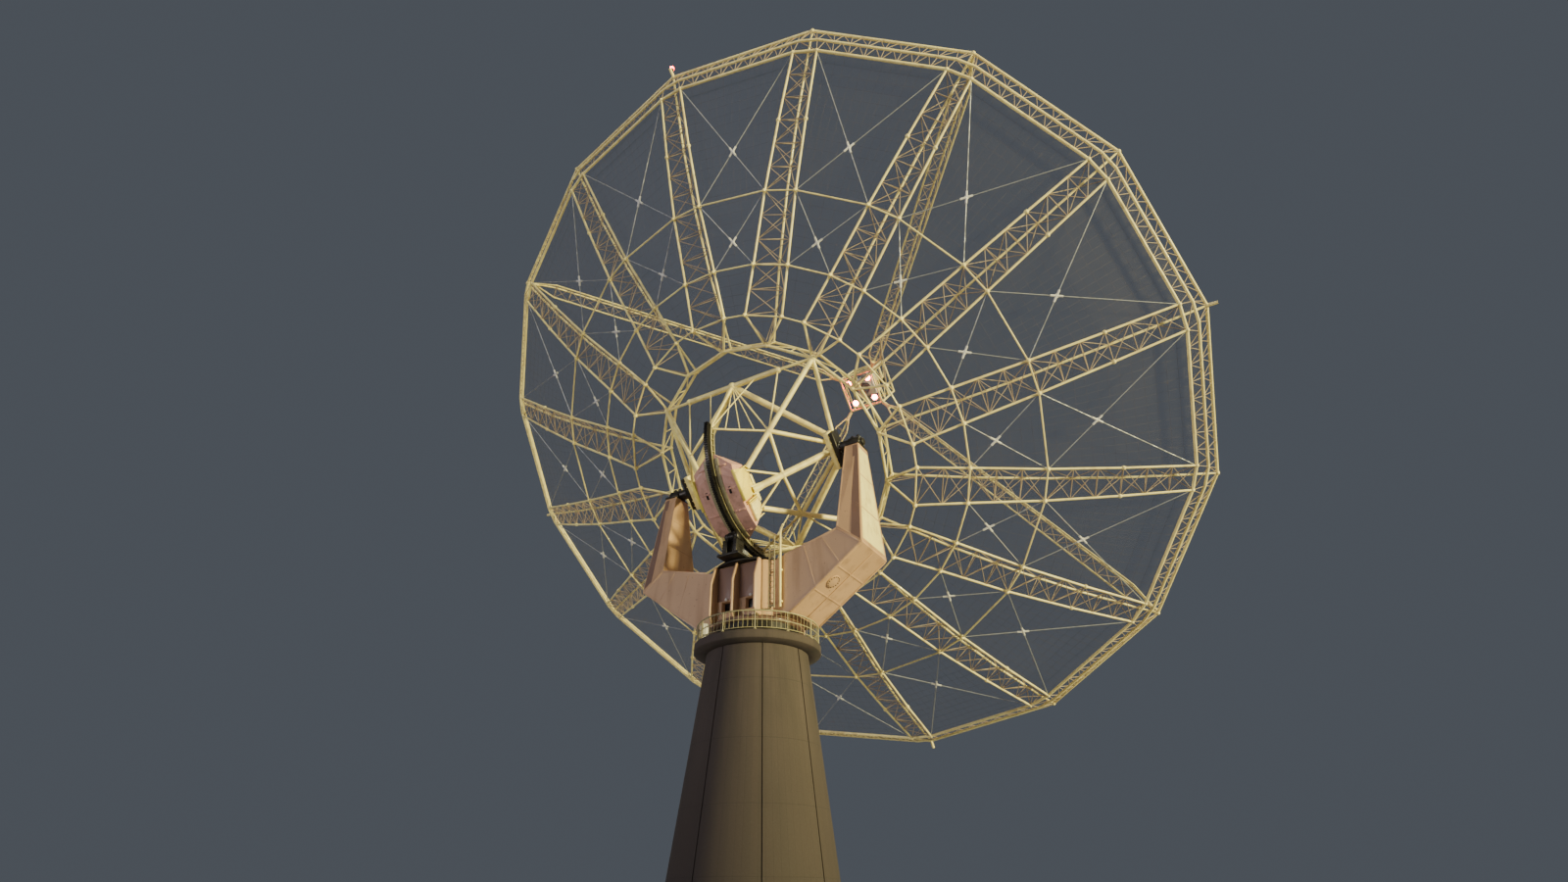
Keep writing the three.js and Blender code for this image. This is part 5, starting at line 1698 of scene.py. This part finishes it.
class TELESCOPE_OT_legs(Step, bpy.types.Operator):
    """Four laced feed legs"""

    bl_idname = "telescope.add_legs"
    bl_label = "Feed legs"

    def execute(self, context):
        names = ["leg_truss_%d" % k for k in range(1, 5)]
        for k, piece in enumerate(round_the_dish(self.leg(), names, RIBS_APART), 1):
            set_in(piece, "dish", "tube_paint", "feed_leg_%d" % k)
        return {"FINISHED"}

    def leg(self):
        """The first leg, which stands on rib line 2: three chords that close up at both ends."""
        foot = on_rib(2, RIM_RADIUS - 0.03, 0, RIM_OUT + 0.3)
        head = on_rib(2, CAGE_HALF * math.sqrt(2) + 0.12, 0, CAGE_LOW)
        along = (head - foot).normalized()
        reach = (head - foot).length / HALF
        start, stop = 1.7, reach - 1.5
        across = on_rib(2, 0, 1, 0) - on_rib(2, 0, 0, 0)
        across.normalize()
        lift = along.cross(across)
        if lift.dot(OUT) < 0:
            lift.negate()
        corners = ((0, 0.58), (-0.45, -0.2), (0.45, -0.2))

        def point(d, spot, share=1.0):
            """A place so far up the leg, beside its middle line."""
            return foot + HALF * (along * d + across * spot[0] * share + lift * spot[1] * share)

        long_runs = []
        for spot in corners:
            path = [point(0.35, spot, 0.12), point(start, spot)]
            path += [point(stop, spot), point(reach - 0.45, spot, 0.12)]
            long_runs.append((path, self.tube.leg_chord))
        panels = self.detail.leg_panels
        thin = self.tube.lacing * 0.85
        step = (stop - start) / panels
        lace = []
        for i in range(panels + 1):
            d = start + step * i
            for j in range(3):
                a, b = corners[j], corners[(j + 1) % 3]
                lace.append(([point(d, a), point(d, b)], thin))
                if i < panels:
                    near, far = (a, b) if i % 2 else (b, a)
                    lace.append(([point(d, near), point(d + step, far)], thin))
        chords = painted(tubes("chords", long_runs, 10), "tube")
        lacing = painted(tubes("lacing", lace, 6), "lacing")
        seat = on_rib(2, RIM_RADIUS, 0, RIM_OUT + 0.061)
        ends = [seat, point(0.62, (0, 0.01))], [point(reach - 0.7, (0, 0.01)), point(reach + 0.05, (0, 0))]
        shoes = painted(tubes("shoes", [(end, 0.26) for end in ends], 12), "tube")
        return joined("leg_truss_1", chords, lacing, shoes)


class TELESCOPE_OT_cage(Step, bpy.types.Operator):
    """Feed cage: posts, rings, cross bracing and the sleeves of the turret's shaft"""

    bl_idname = "telescope.add_cage"
    bl_label = "Feed cage"

    corners = [(x * CAGE_HALF, u * CAGE_HALF) for x, u in ((-1, -1), (1, -1), (1, 1), (-1, 1))]

    def execute(self, context):
        spots = []
        for x, u in self.corners:
            spots += [Matrix.Translation(at(x, u, out)) for out in (CAGE_LOW, CAGE_TOP)]
        thick, thin = self.bars()
        parts = [
            painted(tubes("posts", thick, 12), "tube"),
            painted(tubes("braces", thin, 8), "tube"),
            painted(stamped("knots", ball(0.155), spots), "tube"),
            self.sleeves(),
            *self.lamps(),
        ]
        set_in(joined("cage_frame", *parts), "dish", "tube_paint", "feed_cage")
        return {"FINISHED"}

    def bars(self):
        """The cage's thick edges, and the thin waist and braces of its four faces."""
        low, waist, top, shaft = CAGE_LOW, CAGE_WAIST, CAGE_TOP, TURRET_OUT
        thick = []
        thin = []
        for i in range(4):
            a, b = self.corners[i], self.corners[(i + 1) % 4]
            thick += [([at(*a, out), at(*b, out)], 0.15) for out in (low, top)]
            thick.append(([at(*a, low), at(*a, top)], 0.15))
            thin.append(([at(*a, waist), at(*b, waist)], 0.07))
            thin += [([at(*a, low), at(*b, waist)], 0.06), ([at(*b, low), at(*a, waist)], 0.06)]
            if i % 2:
                # The turret's shaft goes through this face, and four braces meet at its sleeve
                hub = at(b[0], 0, shaft)
                thin += [([at(*end, out), hub], 0.06) for out in (waist, top) for end in (a, b)]
            else:
                thin += [([at(*a, waist), at(*b, top)], 0.05), ([at(*b, waist), at(*a, top)], 0.05)]
        for x in (-CAGE_HALF, CAGE_HALF):
            thick.append(([at(x, -CAGE_HALF, shaft), at(x, CAGE_HALF, shaft)], 0.15))
        return thick, thin

    def sleeves(self):
        """The two steel sleeves in which the turret's shaft turns."""
        h = CAGE_HALF
        ring = [(0.104, h - 0.1), (0.19, h - 0.1), (0.2, h - 0.08), (0.2, h + 0.08), (0.19, h + 0.1)]
        ring += [(0.104, h + 0.1), (0.104, h - 0.1)]
        middle = Matrix.Translation(at(0, 0, TURRET_OUT))
        ends = [middle @ Matrix.Rotation(math.radians(90) * s, 4, "Y") for s in (-1, 1)]
        return painted(joined("sleeves", *(turned("sleeve", ring, 32, end) for end in ends)), "steel")

    def lamps(self):
        """Four red flood lamps at the cage's lower corners, looking back at the dish."""
        lens = [(0, 0), (0.12, 0.02), (0.2, 0.06), (0.22, 0.1), (0.22, 0.12), (0, 0.12)]
        shell = [(0, 0.12), (0.24, 0.12), (0.24, 0.2), (0.15, 0.34), (0.06, 0.4), (0, 0.4)]
        places = []
        arms = []
        for x, u in FLOOD_LAMPS:
            places.append(Matrix.Translation(at(x, u, CAGE_LOW + 0.06)) @ Matrix.Rotation(-TILT, 4, "X"))
            arms.append(([at(x, u, CAGE_LOW + 0.2), at(x, math.copysign(CAGE_HALF, u), CAGE_LOW)], 0.05))
        parts = []
        for profile, finish in ((lens, "hot_lamp"), (shell, "steel")):
            parts.append(painted(stamped(finish, turned("lamp", profile, 20), places), finish))
        return [*parts, painted(tubes("arms", arms, 8), "steel")]


class TELESCOPE_OT_turret(Step, bpy.types.Operator):
    """Feed turret: a box with four hollow horns that turns on its shaft"""

    bl_idname = "telescope.add_turret"
    bl_label = "Feed turret"

    def execute(self, context):
        place = dish_place()
        centre = Matrix.Translation(at(0, 0, TURRET_OUT) - row(0, 0, AXIS_HEIGHT)) @ place
        horn = [(0.26, 0.7), (0.28, 0.72), (0.3, 0.78), (0.45, 1.15), (0.46, 1.17), (0.43, 1.17)]
        horn += [(0.27, 0.8), (0, 0.78), (0, 0.7), (0.26, 0.7)]
        flange = [(0.27, 0.72), (0.36, 0.72), (0.36, 0.75), (0.28, 0.75), (0.27, 0.72)]
        half = [(0.17, 1.19), (0.1, 1.19), (0.1, 1.44), (0.09, 1.45), (0, 1.45)]
        shaft = [(r, -z) for r, z in reversed(half)] + half
        pieces = [painted(block("box", (-0.72,) * 3, (0.72,) * 3, 0.05, centre), "feed")]
        for i in range(4):
            turn = centre @ Matrix.Rotation(i * math.pi / 2, 4, "X")
            pieces.append(painted(turned("horn", horn, 36, turn), "zinc"))
            pieces.append(painted(turned("flange", flange, 36, turn), "steel"))
            bolts = bolt_ring("bolts", 0.035, 0.33, 8, raised(turn, 0.75))
            pieces.append(painted(bolts, "steel"))
            for x in (-0.6, 0.6):
                low, high = (x - 0.1, -0.55, 0.715), (x + 0.1, 0.55, 0.73)
                pieces.append(painted(block("hatch", low, high, 0.01, turn), "feed"))
        pieces.append(painted(turned("shaft", shaft, 32, centre @ ALONG_X), "steel"))
        for s in (-1, 1):
            low, high = span(s, 0.72, 0.74)
            door = block("door", (low, -0.5, -0.5), (high, 0.5, 0.5), 0.008, centre)
            pieces.append(painted(door, "feed"))
        set_in(joined("turret_dressed", *pieces), "turret", "feed_metal", "feed_turret")
        return {"FINISHED"}


class TELESCOPE_OT_lamp(Step, bpy.types.Operator):
    """Red obstruction lamp on the highest stub of the rim"""

    bl_idname = "telescope.add_lamp"
    bl_label = "Obstruction lamp"

    ridges = 5

    def execute(self, context):
        spot = Matrix.Translation(on_rib(4, RIM_RADIUS + 0.4, 0, RIM_OUT + 0.0817))
        foot = [(0, 0), (0.09, 0), (0.09, 0.05), (0.12, 0.06), (0.12, 0.09), (0, 0.09)]
        base = painted(turned("base", foot, 32, spot), "steel")
        glass = [(0, 0.09), (0.1, 0.09)]
        for i in range(self.ridges):
            glass += [(0.13, 0.11 + i * 0.035), (0.118, 0.127 + i * 0.035)]
        glass += [(0.1, 0.31), (0.05, 0.35), (0, 0.36)]
        bulb = painted(turned("glass", glass, 32, spot), "lamp")
        set_in(joined("warning_lamp", bulb, base), "dish", "lamp_red", "obstruction_lamp")
        return {"FINISHED"}


class TELESCOPE_OT_stage(bpy.types.Operator):
    """Studio floor, plain background, soft lights and the camera"""

    bl_idname = "telescope.add_stage"
    bl_label = "Studio"

    def execute(self, context):
        studio = context.scene.telescope_studio
        colours = context.scene.telescope_colours
        only_none()
        bpy.ops.mesh.primitive_plane_add(size=600, location=(0, 0, -0.002))
        floor = painted(context.object, "floor")
        floor.name = "studio_floor"
        world = bpy.data.worlds.new("studio")
        world.use_nodes = True
        world.node_tree.nodes["Background"].inputs["Color"].default_value = (*colours.backdrop, 1.0)
        context.scene.world = world
        self.sun("key", studio.key_power, (1.0, 0.91, 0.44), Vector((1, -0.05, 0.045)), 7)
        self.sun("fill", studio.fill_power, (1.0, 0.94, 0.98), Vector((-0.4, -1, -0.1)), 40)
        self.sun("top", studio.top_power, (1.0, 0.98, 0.95), Vector((0.2, 0.3, 1)), 60)
        self.camera(studio)
        return {"FINISHED"}

    def sun(self, name, power, tint, source, softness):
        """A distant soft light from the side of source."""
        light = bpy.data.lights.new(name, "SUN")
        light.energy = power
        light.color = tint
        light.angle = math.radians(softness)
        lamp = linked(name, light)
        lamp.rotation_euler = source.to_track_quat("Z", "Y").to_euler()

    def camera(self, studio):
        """The photograph's place: low in front of the tower, looking up."""
        lens = bpy.data.cameras.new("camera")
        lens.lens = studio.lens
        lens.sensor_width = 36
        lens.clip_end = 1000
        camera = linked("camera", lens)
        camera.location = CAMERA_SPOT
        camera.rotation_euler = (math.pi / 2 + studio.pitch, 0, CAMERA_HEADING)
        bpy.context.scene.camera = camera


class TELESCOPE_OT_finishes(bpy.types.Operator):
    """Mixes the materials from the colours"""

    bl_idname = "telescope.mix_finishes"
    bl_label = "Finishes"

    def execute(self, context):
        mix_finishes(context.scene.telescope_colours)
        return {"FINISHED"}


STEPS = (
    TELESCOPE_OT_finishes,
    TELESCOPE_OT_tower,
    TELESCOPE_OT_bearing,
    TELESCOPE_OT_drum,
    TELESCOPE_OT_yoke,
    TELESCOPE_OT_elevation_bearings,
    TELESCOPE_OT_drive,
    TELESCOPE_OT_access,
    TELESCOPE_OT_cradle,
    TELESCOPE_OT_sector,
    TELESCOPE_OT_counterweights,
    TELESCOPE_OT_hub,
    TELESCOPE_OT_ribs,
    TELESCOPE_OT_purlins,
    TELESCOPE_OT_rim,
    TELESCOPE_OT_stays,
    TELESCOPE_OT_mesh,
    TELESCOPE_OT_legs,
    TELESCOPE_OT_cage,
    TELESCOPE_OT_turret,
    TELESCOPE_OT_lamp,
    TELESCOPE_OT_stage,
)


GROUPS = {
    "telescope_tubes": TubeSizes,
    "telescope_detail": Detail,
    "telescope_colours": Colours,
    "telescope_studio": Studio,
}


class TELESCOPE_PT_panel(bpy.types.Panel):
    """Lists the steps and the sizes in the sidebar"""

    bl_idname = "TELESCOPE_PT_panel"
    bl_label = "Radio telescope"
    bl_space_type = "VIEW_3D"
    bl_region_type = "UI"
    bl_category = "Telescope"

    def draw(self, context):
        """One button for each step, then every size and colour."""
        for step in STEPS:
            self.layout.operator(step.bl_idname, text=step.bl_label)
        for group in GROUPS:
            settings = getattr(context.scene, group)
            for name in settings.__annotations__:
                self.layout.prop(settings, name)


def register():
    """Adds the property groups, the operators and the panel to Blender."""
    for group in GROUPS.values():
        bpy.utils.register_class(group)
    for name, group in GROUPS.items():
        setattr(bpy.types.Scene, name, bpy.props.PointerProperty(type=group))
    for step in STEPS + (TELESCOPE_PT_panel,):
        bpy.utils.register_class(step)


def unregister():
    """Takes them out again."""
    for step in STEPS + (TELESCOPE_PT_panel,):
        bpy.utils.unregister_class(step)
    for name, group in GROUPS.items():
        delattr(bpy.types.Scene, name)
        bpy.utils.unregister_class(group)


def main():
    """Runs every step in order."""
    register()
    for step in STEPS:
        getattr(bpy.ops.telescope, step.bl_idname.split(".")[1])()


if __name__ == "__main__":
    main()
